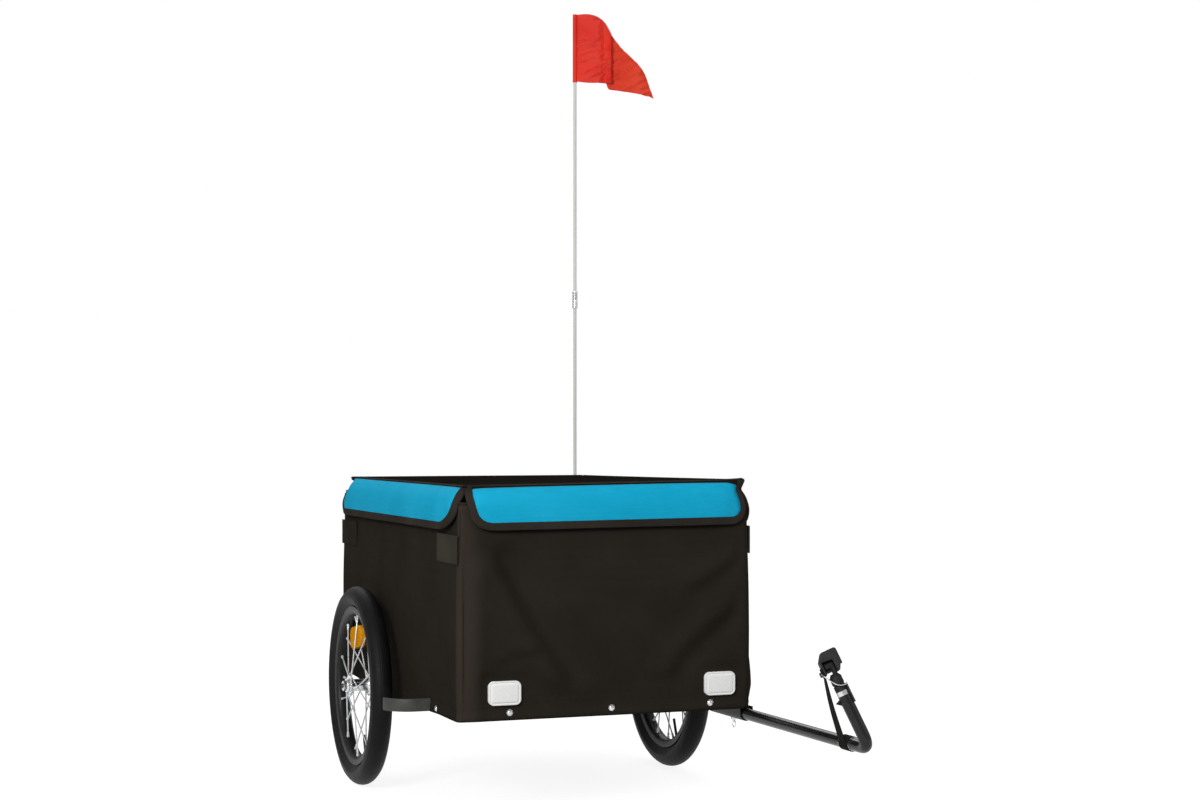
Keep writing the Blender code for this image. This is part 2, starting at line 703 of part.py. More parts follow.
def make_inset(side):
    """Blue panel on a flap, inside its black border, with rounded lower corners."""
    outward, _ = FLAPS[side]
    grid = [line[2:-2] for line in shoulder_grid(side) + flap_grid(side)[:-1]]
    bm = bmesh.new()
    rows = []
    for r, line in enumerate(grid):
        above = grid[r - 1] if r else line
        below = grid[r + 1] if r + 1 < len(grid) else line
        middle = len(line) // 2
        slope = (below[middle] - above[middle]).normalized()
        normal = (outward - slope * slope.dot(outward)).normalized()
        points = [p + normal * (COVER / 2 + 2 * SEAT + INSET / 2) for p in line]
        if r == len(grid) - 1:
            points[0] += (line[1] + above[0] - 2 * line[0]) * INSET_CORNER
            points[-1] += (line[-2] + above[-1] - 2 * line[-1]) * INSET_CORNER
        rows.append([bm.verts.new(p) for p in points])
    add_grid_faces(bm, rows)
    inset = add_object(f"inset_{side}", bm, BLUE_CLOTH)
    solidify(inset, INSET)


def make_tabs():
    for name, (x, y) in post_centres().items():
        side = math.copysign(1, x)
        x0, x1 = sorted((side * (HALF_WIDTH + SEAT), side * (HALF_WIDTH + SEAT + TAB)))
        margin = BOX_CORNER
        if name.startswith("front"):
            y0, y1 = margin, TAB_LENGTH
        else:
            y0, y1 = BOX_LENGTH - TAB_LENGTH, BOX_LENGTH - margin
        box(f"tab_{name}", (x0, y0, TAB_TOP_Z - TAB_HEIGHT), (x1, y1, TAB_TOP_Z), WEBBING, 0.0006)


# Reflectors on the box

def barrel_outline(width, height, radius, bulge):
    """A rectangle with round corners and slightly bowed sides."""
    outline = []
    for x, y in rounded_rectangle(-width / 2, width / 2, -height / 2, height / 2, radius):
        bow_x = bulge * (1 - (2 * y / height) ** 2)
        bow_y = bulge * (1 - (2 * x / width) ** 2)
        outline.append((x + math.copysign(bow_x, x), y + math.copysign(bow_y, y)))
    return outline


def raised_plate(name, outline, matrix, depth, lip, mat, pivot=(0.0, 0.0, 0.0)):
    """A plate whose face is drawn in by lip at its front edge."""
    bm = bmesh.new()
    low = [bm.verts.new((x, y, 0.0)) for x, y in outline]
    mid = [bm.verts.new((x, y, depth - lip)) for x, y in outline]
    reach = max(math.hypot(x, y) for x, y in outline)
    draw = 1 - lip / reach
    top = [bm.verts.new((x * draw, y * draw, depth)) for x, y in outline]
    bm.faces.new(low)
    bm.faces.new(top)
    for a, b in ((low, mid), (mid, top)):
        for i in range(len(outline)):
            j = (i + 1) % len(outline)
            bm.faces.new((a[i], a[j], b[j], b[i]))
    bmesh.ops.transform(bm, matrix=matrix, verts=bm.verts)
    return add_object(name, bm, mat, pivot)


def make_box_reflectors():
    outline = barrel_outline(REFLECTOR_WIDTH - 2 * REFLECTOR_BULGE, REFLECTOR_HEIGHT - 2 * REFLECTOR_BULGE,
                             REFLECTOR_ROUND, REFLECTOR_BULGE)
    insets = {"right": RIGHT_REFLECTOR_INSET, "left": LEFT_REFLECTOR_INSET}
    for side, sign in (("right", -1), ("left", 1)):
        x = sign * (HALF_WIDTH - insets[side])
        rear_x = sign * (HALF_WIDTH - REAR_REFLECTOR_INSET)
        front = axis_matrix((x, -SEAT, REFLECTOR_Z), (0, -1, 0), (1, 0, 0))
        rear = axis_matrix((rear_x, BOX_LENGTH + SEAT, REAR_REFLECTOR_Z), (0, 1, 0), (1, 0, 0))
        raised_plate(f"reflector_front_{side}", outline, front, REFLECTOR_DEPTH, 0.0015, WHITE_PLASTIC)
        raised_plate(f"reflector_rear_{side}", outline, rear, REFLECTOR_DEPTH, 0.0015, RED_PLASTIC)


# Axle sockets and wheel guards

def make_carrier(label, side):
    inner = FRAME_SIDE + SEAT
    outer = inner + CARRIER_PLATE
    x0, x1 = sorted((side * inner, side * outer))
    plate = box(f"carrier_{label}", (x0, AXLE_Y - CARRIER_LENGTH / 2, AXLE_Z - CARRIER_HEIGHT / 2),
                (x1, AXLE_Y + CARRIER_LENGTH / 2, CLOTH_Z - 2 * SEAT), bevel=0.0015)
    hub_end = WHEEL_X - HUB_LENGTH / 2 - SEAT
    join(plate, cylinder(f"socket_{label}", (side * (inner + 0.001), AXLE_Y, AXLE_Z),
                         (side * hub_end, AXLE_Y, AXLE_Z), SOCKET_RADIUS))
    cut(plate, cylinder(f"socket_bore_{label}", (side * (inner - 0.01), AXLE_Y, AXLE_Z),
                        (side * (hub_end + 0.01), AXLE_Y, AXLE_Z), AXLE_RADIUS + RUN))


def make_guard(label, side):
    start = Vector((FRAME_SIDE + SEAT, GUARD_Y, GUARD_Z))
    points = [start, start + Vector((GUARD_STRAIGHT, 0, 0))]
    centre = points[-1] + Vector((0, GUARD_BEND, 0))
    steps = 8
    for i in range(1, steps + 1):
        turn = GUARD_TURN * i / steps
        points.append(centre + Vector((math.sin(turn), -math.cos(turn), 0)) * GUARD_BEND)
    points = [Vector((side * p.x, p.y, p.z)) for p in points]
    swept(f"guard_{label}", points, bar_section(GUARD_HEIGHT, GUARD_BAR), BLACK_STEEL)


# Wheels

def wheel_matrix(side):
    """Wheel frame: Z outward along the axle and Y up."""
    return axis_matrix((side * WHEEL_X, AXLE_Y, AXLE_Z), (side, 0, 0), (0, side, 0))


def wheel_way(side, angle):
    """Direction in the wheel frame, its angle measured from the trailer's rear upward."""
    return Vector((side * math.cos(angle), math.sin(angle), 0.0))


def tyre_profile():
    """C section, open towards the rim: outer face first, then the inner face."""
    half, crown = TYRE_WIDTH / 2, TYRE_RADIUS - TYRE_WIDTH / 2
    bead = RIM_WIDTH / 2 - 0.0035
    seat = RIM_RADIUS - 0.0035
    lip = (RIM_RADIUS + 2 * SEAT, bead + 0.0009)
    outer = [(seat, -bead), (lip[0], -lip[1])]
    for angle in (-95, -60, -28, 0, 28, 60, 95):
        a = math.radians(angle)
        outer.append((crown + half * math.cos(a), half * math.sin(a)))
    outer += [lip, (seat, bead)]
    inner_half = half - TYRE_WALL
    inner = [(seat, bead - 0.003)]
    for angle in (80, 30, -30, -80):
        a = math.radians(angle)
        inner.append((crown + inner_half * math.cos(a), inner_half * math.sin(a)))
    inner.append((seat, -(bead - 0.003)))
    return outer + inner


def rim_profile():
    """Hooked channel: flanges, bead seats, a well and the inner face."""
    half = RIM_WIDTH / 2
    wall = 0.0022
    seat = RIM_RADIUS - 0.0035 - SEAT - 0.0012
    well = RIM_INNER + 0.0035
    return [
        (RIM_RADIUS, -half), (RIM_RADIUS, -half + wall), (seat, -half + wall + 0.0005),
        (well, -half * 0.45), (well, half * 0.45),
        (seat, half - wall - 0.0005), (RIM_RADIUS, half - wall), (RIM_RADIUS, half),
        (RIM_INNER + 0.004, half - 0.001), (RIM_INNER, half * 0.55),
        (RIM_INNER, -half * 0.55), (RIM_INNER + 0.004, -half + 0.001),
    ]


def spoke_ends(index, flange):
    """Hub end and rim end of a spoke in the wheel frame, two-cross lacing."""
    per_flange = SPOKES // 2
    hole = index * 2 * math.pi / per_flange + (math.pi / per_flange if flange > 0 else 0.0)
    lead = 1 if index % 2 == 0 else -1
    rim_angle = hole + lead * 4 * math.pi / per_flange
    hub_radius = FLANGE_RADIUS - 0.003
    lean = lead * (FLANGE / 2 + SPOKE_RADIUS * 0.6)
    hub = Vector((hub_radius * math.cos(hole), hub_radius * math.sin(hole),
                  flange * FLANGE_SPACING / 2 + lean))
    rim_radius = RIM_INNER - SEAT - 0.0004
    rim = Vector((rim_radius * math.cos(rim_angle), rim_radius * math.sin(rim_angle),
                  flange * 0.003))
    return hub, rim


def make_spoked_hub(label, matrix, pivot):
    """Turned hub shell with flanges, joined with every spoke and its nipple."""
    half = HUB_LENGTH / 2
    bore = AXLE_RADIUS + 2 * RUN
    race = BEARING_RADIUS + SEAT
    step = half - BEARING_WIDTH - 2 * SEAT
    f0, f1 = FLANGE_SPACING / 2 - FLANGE / 2, FLANGE_SPACING / 2 + FLANGE / 2
    outer = [(race, -half), (HUB_RADIUS + 0.001, -half), (HUB_RADIUS + 0.001, -f1), (FLANGE_RADIUS, -f1),
             (FLANGE_RADIUS, -f0), (HUB_RADIUS, -f0 + 0.002),
             (HUB_RADIUS, f0 - 0.002), (FLANGE_RADIUS, f0), (FLANGE_RADIUS, f1),
             (HUB_RADIUS + 0.001, f1), (HUB_RADIUS + 0.001, half), (race, half)]
    inner = [(race, step), (bore, step), (bore, -step), (race, -step)]
    hub = turned(f"spoked_hub_{label}", outer + inner, SPOKES, matrix, BARE_STEEL, pivot)
    for flange in (-1, 1):
        for i in range(SPOKES // 2):
            start, end = spoke_ends(i, flange)
            way = (end - start).normalized()
            neck = end - way * NIPPLE_LENGTH
            length = (end - start).length
            profile = [(0.0, 0.0), (SPOKE_RADIUS, 0.0), (SPOKE_RADIUS, (neck - start).length),
                       (NIPPLE_RADIUS, (neck - start).length + 0.001), (NIPPLE_RADIUS, length),
                       (0.0, length)]
            spoke = turned(f"spoke_{label}_{flange}_{i}", profile, SPOKE_SIDES,
                           matrix @ axis_matrix(start, way), BARE_STEEL, pivot)
            join(hub, spoke)


def bearing_profile(low):
    bore = AXLE_RADIUS + RUN
    high = low + BEARING_WIDTH
    return [(bore, low), (BEARING_RADIUS, low), (BEARING_RADIUS, high), (bore, high)]


def make_axle(label, matrix, pivot):
    """Quick release axle: shank into the socket, flange head outside, bored for the button."""
    half = HUB_LENGTH / 2
    head0, head1 = half + SEAT, half + SEAT + AXLE_HEAD
    tip = -(WHEEL_X - FRAME_SIDE) - RAIL + 0.004
    bore = BUTTON_STEM_RADIUS + RUN
    cup = BUTTON_RADIUS + RUN
    cup_floor = head1 - BUTTON_TRAVEL - 0.0015
    stem_end = cup_floor - BUTTON_STEM - BUTTON_TRAVEL - 0.001
    profile = [(0.0, tip), (AXLE_RADIUS - 0.001, tip), (AXLE_RADIUS, tip + 0.001), (AXLE_RADIUS, head0),
               (AXLE_HEAD_RADIUS, head0), (AXLE_HEAD_RADIUS, head1 - 0.001), (AXLE_HEAD_RADIUS - 0.001, head1),
               (cup, head1), (cup, cup_floor), (bore, cup_floor), (bore, stem_end), (0.0, stem_end)]
    turned(f"axle_{label}", profile, MEDIUM, matrix, BARE_STEEL, pivot)
    top = head1 + 0.0015
    under = cup_floor + BUTTON_TRAVEL + SEAT
    profile = [(0.0, under - BUTTON_STEM), (BUTTON_STEM_RADIUS, under - BUTTON_STEM),
               (BUTTON_STEM_RADIUS, under), (BUTTON_RADIUS, under), (BUTTON_RADIUS, top - 0.0006),
               (BUTTON_RADIUS - 0.0008, top), (0.0, top)]
    turned(f"button_{label}", profile, COARSE, matrix, BLACK_PLASTIC, pivot)


def make_inner_tube(label, side, matrix, pivot):
    """Inflated tube with its valve stem through the rim."""
    centre = TYRE_RADIUS - TYRE_WIDTH / 2 - 0.002
    profile = [(centre + TUBE_RADIUS * math.cos(a), TUBE_RADIUS * math.sin(a))
               for a in [math.pi / 3 * i for i in range(6)]]
    tube = turned(f"inner_tube_{label}", profile, 28, matrix, RUBBER, pivot)
    way = wheel_way(side, VALVE_ANGLE)
    start = matrix @ (way * centre)
    end = matrix @ (way * (RIM_INNER - VALVE_LENGTH))
    stem = cylinder(f"valve_{label}", start, end, VALVE_RADIUS, 8, RUBBER, pivot)
    join(tube, stem)


def make_spoke_reflector(label, side, matrix, pivot):
    """Lens between two spokes, held on the spokes of both flanges."""
    outline = barrel_outline(SPOKE_REFLECTOR_LENGTH - 2 * REFLECTOR_BULGE,
                             SPOKE_REFLECTOR_HEIGHT - 2 * REFLECTOR_BULGE,
                             SPOKE_REFLECTOR_ROUND, REFLECTOR_BULGE)
    place = wheel_way(side, SPOKE_REFLECTOR_ANGLE) * SPOKE_REFLECTOR_RADIUS
    tangent = wheel_way(side, SPOKE_REFLECTOR_ANGLE + math.pi / 2)
    local = axis_matrix(place, (0, 0, 1), tangent)
    local = local @ Matrix.Translation((0, 0, -SPOKE_REFLECTOR_DEPTH / 2))
    lens = raised_plate(f"spoke_reflector_{label}", outline, matrix @ local, SPOKE_REFLECTOR_DEPTH,
                        0.002, ORANGE_PLASTIC, pivot)
    for flange in (-1, 1):
        for i in range(SPOKES // 2):
            start, end = spoke_ends(i, flange)
            middle = (start + end) / 2
            near = (middle - place).length < SPOKE_REFLECTOR_LENGTH
            if near:
                way = (end - start).normalized()
                cut(lens, cylinder(f"spoke_way_{label}_{flange}_{i}", matrix @ start,
                                   matrix @ (end + way * 0.01), SPOKE_RADIUS + SEAT, 6,
                                   ORANGE_PLASTIC, pivot))


def make_wheel(label, side):
    matrix = wheel_matrix(side)
    pivot = matrix.translation.copy()
    turned(f"tyre_{label}", tyre_profile(), FINE, matrix, RUBBER, pivot)
    rim = turned(f"rim_{label}", rim_profile(), 40, matrix, BLACK_STEEL, pivot)
    way = wheel_way(side, VALVE_ANGLE)
    cut(rim, cylinder(f"valve_hole_{label}", matrix @ (way * (RIM_INNER - 0.01)),
                      matrix @ (way * (RIM_INNER + 0.01)), VALVE_RADIUS + RUN, 8, pivot=pivot))
    make_inner_tube(label, side, matrix, pivot)
    make_spoked_hub(label, matrix, pivot)
    low = HUB_LENGTH / 2 - BEARING_WIDTH - SEAT
    inward = matrix @ Matrix.Rotation(math.pi, 4, "X")
    for place, frame in (("outer", matrix), ("inner", inward)):
        turned(f"bearing_{place}_{label}", bearing_profile(low), MEDIUM, frame, BARE_STEEL, pivot)
    make_axle(label, matrix, pivot)
    make_spoke_reflector(label, side, matrix, pivot)


# Tow arm and its bracket

ARM_WAY = (ARM_CORNER - ARM_REAR).normalized()
LOCK_PIN_AT = ARM_REAR + ARM_WAY * ((LOCK_PIN_Y - ARM_REAR.y) / ARM_WAY.y)


def make_tow_arm():
    path = fillet_path(ARM_REAR, ARM_CORNER, ARM_CORNER + TIP_AXIS * TIP_LENGTH, ARM_BEND, 6)
    arm = swept("tow_arm", path, circle_section(ARM_RADIUS, 16), BLACK_STEEL, (1, 0, 0))
    inside = [ARM_REAR - ARM_WAY * 0.01, *path[1:-1], path[-1] + TIP_AXIS * 0.01]
    cut(arm, swept("arm_bore", inside, circle_section(ARM_RADIUS - ARM_WALL, 8), BLACK_STEEL, (1, 0, 0)))
    reach = Vector((0, 0, 2 * ARM_RADIUS))
    cut(arm, cylinder("arm_pin_hole", LOCK_PIN_AT - reach, LOCK_PIN_AT + reach,
                      LOCK_PIN_RADIUS + RUN, COARSE))
    join(arm, make_strap_lug())


def tip_matrix():
    """Frame at the arm's corner: Z up the tip, X across it to the trailer's left, Y to the rear."""
    return axis_matrix(ARM_CORNER, TIP_AXIS, TIP_ACROSS)


def tip_place(along, across=0.0, back=0.0):
    return tip_matrix() @ Vector((across, back, along))


def on_tip(bm):
    """Move a bmesh that was made in the tip's frame to its place."""
    bmesh.ops.transform(bm, matrix=tip_matrix(), verts=bm.verts)
    return bm


def make_strap_lug():
    """Pointed lug on the inner side of the tip's tube, for the strap's hook."""
    root = -ARM_RADIUS + ARM_WALL / 2
    low = TIP_LENGTH - LUG_BELOW_TUBE
    outline = [(root, low), (root, low + LUG_LENGTH), (root - LUG_REACH, low + LUG_LENGTH * 0.64)]
    bm = prism_bmesh(outline, -LUG_PLATE / 2, LUG_PLATE / 2)
    bmesh.ops.rotate(bm, cent=(0, 0, 0), matrix=Matrix.Rotation(math.pi / 2, 3, "X"), verts=bm.verts)
    return add_object("strap_lug", on_tip(bm), BLACK_STEEL)


def make_arm_bracket():
    """Channel round the arm under the left side rail."""
    matrix = axis_matrix(ARM_REAR + ARM_WAY * 0.006, ARM_WAY, (0, 0, 1))
    gap = ARM_RADIUS + SEAT
    top = RAIL_Z - SEAT - ARM_Z
    side = gap + BRACKET_WALL
    low = ARM_RADIUS - BRACKET_DEPTH
    outline = [(top, -side), (top, side), (low, side), (low, gap), (gap, gap),
               (gap, -gap), (low, -gap), (low, -side)]
    bm = prism_bmesh(outline, 0.0, BRACKET_LENGTH)
    bmesh.ops.transform(bm, matrix=matrix, verts=bm.verts)
    bracket = add_object("arm_bracket", bm, BLACK_STEEL)
    reach = Vector((0, 0, 0.03))
    cut(bracket, cylinder("bracket_pin_hole", LOCK_PIN_AT, LOCK_PIN_AT + reach,
                          LOCK_PIN_RADIUS + RUN, COARSE))


def make_lock_pin():
    """Pin up through the arm, its collar under the arm and a flat eye for the ring below that."""
    top = RAIL_Z - 2 * SEAT - LOCK_PIN_AT.z
    under = -ARM_RADIUS - SEAT
    low = under - LOCK_PIN_HEAD
    profile = [(0.0, low), (0.0062, low), (0.0062, under), (LOCK_PIN_RADIUS, under),
               (LOCK_PIN_RADIUS, top - 0.001), (LOCK_PIN_RADIUS - 0.001, top), (0.0, top)]
    pin = turned("lock_pin", profile, COARSE, Matrix.Translation(LOCK_PIN_AT), BARE_STEEL, LOCK_PIN_AT)
    base = LOCK_PIN_AT + Vector((0, 0, low))
    half = LOCK_PIN_EYE / 2
    join(pin, box("ring_eye", base - Vector((half, 0.0012, LOCK_PIN_EYE)),
                  base + Vector((half, 0.0012, LOCK_PIN_HEAD / 2)), BARE_STEEL, pivot=LOCK_PIN_AT))
    ring_hole = base - Vector((0, 0, half))
    reach = Vector((0, 0.01, 0))
    cut(pin, cylinder("ring_hole", ring_hole - reach, ring_hole + reach, PULL_RING_WIRE + 0.0008, 8))
    make_pull_ring(ring_hole)


def make_pull_ring(ring_hole):
    centre = ring_hole - Vector((0, 0, PULL_RING_RADIUS))
    points = []
    for i in range(20):
        angle = 2 * math.pi * i / 20
        points.append(centre + Vector((0, math.sin(angle), math.cos(angle))) * PULL_RING_RADIUS)
    swept("pull_ring", points, circle_section(PULL_RING_WIRE, 6), BARE_STEEL, (1, 0, 0), True,
          pivot=ring_hole)


# Coupling

COLLAR_TOP = TIP_LENGTH + SEAT + COLLAR_LENGTH
NECK = COLLAR_TOP + SEAT + FLEX_LENGTH
PIN_ALONG = NECK + PIN_ABOVE_NECK


def tip_cylinder(name, start, end, radius, segments, mat):
    return cylinder(name, tip_place(*start), tip_place(*end), radius, segments, mat,
                    tip_place(PIN_ALONG))


def tip_prism(name, outline, depth, mat):
    """A block with an outline of (across, above the pin) points, centred on the arm's axis."""
    bm = prism_bmesh([(x, y) for x, y in outline], -depth / 2, depth / 2)
    turn = Matrix.Translation((0, 0, PIN_ALONG)) @ Matrix.Rotation(math.pi / 2, 4, "X")
    bmesh.ops.transform(bm, matrix=turn, verts=bm.verts)
    return add_object(name, on_tip(bm), mat, tip_place(PIN_ALONG), smooth=False)


def bevel_edges(obj, width):
    modifier = obj.modifiers.new("edge_round", "BEVEL")
    modifier.width = width
    modifier.segments = 1
    modifier.limit_method = "ANGLE"
    modifier.angle_limit = math.radians(40)


def make_joint_sleeve():
    """Half shell round the back and the outer side of the tube's end."""
    inner = ARM_RADIUS + SEAT
    outer = inner + SLEEVE_WALL
    steps = 7
    turn = [math.radians(-40 + 150 * i / steps) for i in range(steps + 1)]
    outline = [(outer * math.cos(a), outer * math.sin(a)) for a in turn]
    outline += [(inner * math.cos(a), inner * math.sin(a)) for a in reversed(turn)]
    high = TIP_LENGTH + SLEEVE_ABOVE_TUBE
    add_object("joint_sleeve", on_tip(prism_bmesh(outline, high - SLEEVE_LENGTH, high)), BLACK_STEEL)


def make_swivel_collar():
    """Bright collar on the end of the tube, its spigot turning in the tube's bore."""
    radius = ARM_RADIUS - 0.0002
    spigot_radius = ARM_RADIUS - ARM_WALL - 2 * RUN
    foot = TIP_LENGTH - 0.020
    profile = [(0.0, foot), (spigot_radius, foot), (spigot_radius, TIP_LENGTH + SEAT),
               (radius, TIP_LENGTH + SEAT), (radius, COLLAR_TOP), (0.0, COLLAR_TOP)]
    turned("swivel_collar", profile, MEDIUM, tip_matrix(), BARE_STEEL, tip_place(TIP_LENGTH))


def make_flex_joint():
    """Rubber joint: a foot ring, a round body and a flat tongue for the hitch pin."""
    foot = COLLAR_TOP + SEAT
    r = FLEX_RADIUS
    profile = [(0.0, foot), (r, foot), (r, foot + FLEX_FOOT), (r - 0.0015, foot + FLEX_FOOT + 0.001),
               (r, foot + FLEX_FOOT + 0.004), (r, NECK - FLEX_SHOULDER), (FLEX_NECK_RADIUS, NECK),
               (0.0, NECK)]
    flex = turned("flex_joint", profile, MEDIUM, tip_matrix(), RUBBER, tip_place(TIP_LENGTH))
    low = -PIN_ABOVE_NECK - FLEX_RADIUS / 2
    outline = [(-TONGUE_WAIST, low), (TONGUE_OUTER, low), (TONGUE_OUTER, TONGUE_TOP),
               (-TONGUE_INNER, TONGUE_TOP), (-TONGUE_INNER, TONGUE_STEP), (-TONGUE_WAIST, TONGUE_STEP)]
    tongue = tip_prism("tongue", outline, TONGUE_DEPTH, RUBBER)
    bevel_edges(tongue, 0.0016)
    join(flex, tongue)
    return flex


def make_coupler_head():
    """Cap that slopes on its inner side, a thin inner cheek and a stout outer one."""
    under = HEAD_TOP - HEAD_CAP
    under_inner = HEAD_TOP - HEAD_CAP_INNER
    inside = -HEAD_INNER + CHEEK_INNER
    gap = TONGUE_OUTER + RUN
    outline = corner_arc((HEAD_OUTER - HEAD_ROUND, HEAD_TOP - HEAD_ROUND), HEAD_ROUND, 0.0, 3)
    outline += [(-HEAD_TOP_INNER, HEAD_TOP), (-HEAD_INNER, HEAD_SHOULDER),
                (-HEAD_INNER, -CHEEK_DROP), (inside, -CHEEK_DROP), (inside, under_inner),
                (gap, under), (gap, -CHEEK_DROP), (CHEEK_TOE, -CHEEK_DROP),
                (HEAD_OUTER - HEAD_ROUND, HITCH_PIN_RADIUS), (HEAD_OUTER, 3 * HITCH_PIN_RADIUS)]
    head = tip_prism("coupler_head", outline, HEAD_DEPTH, BLACK_PLASTIC)
    bevel_edges(head, 0.0010)
    return head


def make_hitch_pin():
    """Pin through strap, cheeks and tongue, with a cross hole in its head for the bail."""
    head_low = HEAD_INNER + 2 * SEAT + STRAP
    head_high = head_low + HITCH_PIN_HEAD
    end = HITCH_PIN_END
    r = HITCH_PIN_RADIUS
    profile = [(0.0, -end), (r - 0.0006, -end), (r, -end + 0.0006), (r, head_low), (0.0045, head_low),
               (0.0045, head_high - 0.001), (0.0035, head_high), (0.0, head_high)]
    inward = axis_matrix(tip_place(PIN_ALONG), -(tip_place(0, 1.0) - tip_place(0)), TIP_AXIS)
    pin = turned("hitch_pin", profile, COARSE, inward, BARE_STEEL, tip_place(PIN_ALONG))
    hole = -(head_low + head_high) / 2
    cut(pin, tip_cylinder("bail_hole", (PIN_ALONG, hole, -0.01), (PIN_ALONG, hole, 0.01),
                          BAIL_WIRE + 0.0004, 8, BARE_STEEL))
    return hole


def make_wire_bail(hole):
    """Wire from the pin's head down across the front of the rubber joint."""
    front = -(FLEX_RADIUS + BAIL_WIRE + 0.0032)
    strap_front = -(STRAP_WIDTH / 2 + BAIL_WIRE + 0.0020)
    route = [(hole, 0.0040, 0.0), (hole, -0.0095, 0.0), (hole + 0.0015, strap_front, -0.0045),
             (-0.0130, strap_front, -0.0150), (-0.0064, front, -0.0250), (0.0, front, -0.0295),
             (0.0065, front, -0.0312), (0.0110, front, -0.0305)]
    points = [tip_place(PIN_ALONG + along, across, back) for across, back, along in route]
    swept("wire_bail", points, circle_section(BAIL_WIRE, 6), BARE_STEEL, TIP_AXIS,
          pivot=tip_place(PIN_ALONG, hole))


def make_coupling():
    make_joint_sleeve()
    make_swivel_collar()
    flex = make_flex_joint()
    head = make_coupler_head()
    for piece in (flex, head):
        cut(piece, tip_cylinder(f"pin_bore_{piece.name}", (PIN_ALONG, -HEAD_INNER - 0.01),
                                (PIN_ALONG, HITCH_PIN_END + RUN), HITCH_PIN_RADIUS + RUN, COARSE,
                                BARE_STEEL))
    make_wire_bail(make_hitch_pin())


# Safety strap

WRAP_AT = ARM_REAR + ARM_WAY * ((STRAP_WRAP_Y - ARM_REAR.y) / ARM_WAY.y)
WRAP_MATRIX = axis_matrix(WRAP_AT, ARM_WAY, (0, 0, 1))


def make_strap_band():
    r0 = ARM_RADIUS + SEAT
    r1 = r0 + BAND
    half = BAND_LENGTH / 2
    turned("strap_band", [(r0, -half), (r1, -half), (r1, half), (r0, half)], 16, WRAP_MATRIX, BARE_STEEL)
    return r1


def ribbon_bmesh(points, widths, thickness):
    """Flat ribbon through points, given half its width as a vector at each point."""
    bm = bmesh.new()
    rings = []
    for i, (point, half) in enumerate(zip(points, widths)):
        before, after = points[max(i - 1, 0)], points[min(i + 1, len(points) - 1)]
        lift = half.cross(after - before).normalized() * thickness / 2
        rings.append([bm.verts.new(point + a * half + b * lift)
                      for a, b in ((-1, -1), (1, -1), (1, 1), (-1, 1))])
    for a, b in zip(rings, rings[1:]):
        for i in range(4):
            bm.faces.new((a[i], a[i - 3], b[i - 3], b[i]))
    bm.faces.new(rings[0])
    bm.faces.new(rings[-1])
    return bm


def make_strap(band_radius):
    """Webbing that hangs from the hitch pin and wraps the arm over the metal band."""
    inner = band_radius + SEAT
    outer = inner + STRAP
    half = STRAP_WRAP_LENGTH / 2
    wrap = turned("safety_strap", [(inner, -half), (outer, -half), (outer, half), (inner, half)],
                  16, WRAP_MATRIX, WEBBING)
    side = -(HEAD_INNER + SEAT + STRAP / 2)
    back = (tip_place(0, 0, 1.0) - tip_place(0)).normalized()
    points = [tip_place(PIN_ALONG + STRAP_TOP, side), tip_place(PIN_ALONG - CHEEK_DROP - 0.002, side)]
    top = points[-1]
    low = WRAP_AT + Vector((-(inner + outer) / 2, 0.0, 0.004))
    steps = 7
    for i in range(1, steps + 1):
        t = i / steps
        bulge = Vector((-0.001, 0.010, 0.003)) * math.sin(math.pi * t)
        points.append(top.lerp(low, t) + bulge)
    points.append(WRAP_AT + Vector((-(inner + outer) / 2, 0.0, 0.0)))
    last = len(points) - 1
    widths = []
    for i in range(len(points)):
        turn = max(0.0, (i - 1) / (last - 1))
        widths.append((back.lerp(ARM_WAY * -1, turn ** 0.8)).normalized() * STRAP_WIDTH / 2)
    ribbon = add_object("strap_ribbon", ribbon_bmesh(points, widths, STRAP), WEBBING)
    join(wrap, ribbon)
    cut(wrap, tip_cylinder("strap_pin_hole", (PIN_ALONG, -HEAD_INNER), (PIN_ALONG, -HEAD_INNER - 0.01),
                           HITCH_PIN_RADIUS + RUN, COARSE, WEBBING))


# Flag and pole

def make_flag_socket():
    """Plate on the rear wall with a blind tube for the pole."""
    y0 = BOX_LENGTH + SEAT
    low_z = POLE_BASE_Z - 0.006
    plate_x = POLE_X - 0.008
    socket = box("flag_socket", (plate_x - 0.018, y0, low_z), (plate_x + 0.018, y0 + 0.003, low_z + SOCKET_HEIGHT))
    web = box("socket_web", (POLE_X - 0.003, y0 + 0.001, low_z), (POLE_X + 0.003, POLE_Y, low_z + SOCKET_HEIGHT))
    tube = cylinder("socket_tube", (POLE_X, POLE_Y, low_z), (POLE_X, POLE_Y, low_z + SOCKET_HEIGHT + 0.006),
                    SOCKET_TUBE_RADIUS, 16)
    bore = cylinder("socket_bore", (POLE_X, POLE_Y, POLE_BASE_Z - SEAT),
                    (POLE_X, POLE_Y, low_z + SOCKET_HEIGHT + 0.02), POLE_RADIUS + RUN, COARSE)
    join(socket, web, tube)
    cut(socket, bore)


def make_poles():
    lower_top = FERRULE_Z + FERRULE_LENGTH * 0.6
    place = Matrix.Translation((POLE_X, POLE_Y, 0))
    pivot = (POLE_X, POLE_Y, POLE_BASE_Z)
    profile = [(0.0, POLE_BASE_Z), (POLE_RADIUS, POLE_BASE_Z), (POLE_RADIUS, lower_top), (0.0, lower_top)]
    turned("pole_lower", profile, COARSE, place, POLE_WHITE, pivot)
    top = FERRULE_Z + FERRULE_LENGTH
    bore = POLE_RADIUS + RUN
    profile = [(0.0, lower_top + SEAT), (bore, lower_top + SEAT), (bore, FERRULE_Z), (FERRULE_RADIUS, FERRULE_Z),
               (FERRULE_RADIUS, top), (POLE_RADIUS, top), (POLE_RADIUS, POLE_TOP_Z), (0.0, POLE_TOP_Z)]
    turned("pole_upper", profile, COARSE, place, POLE_WHITE, pivot)


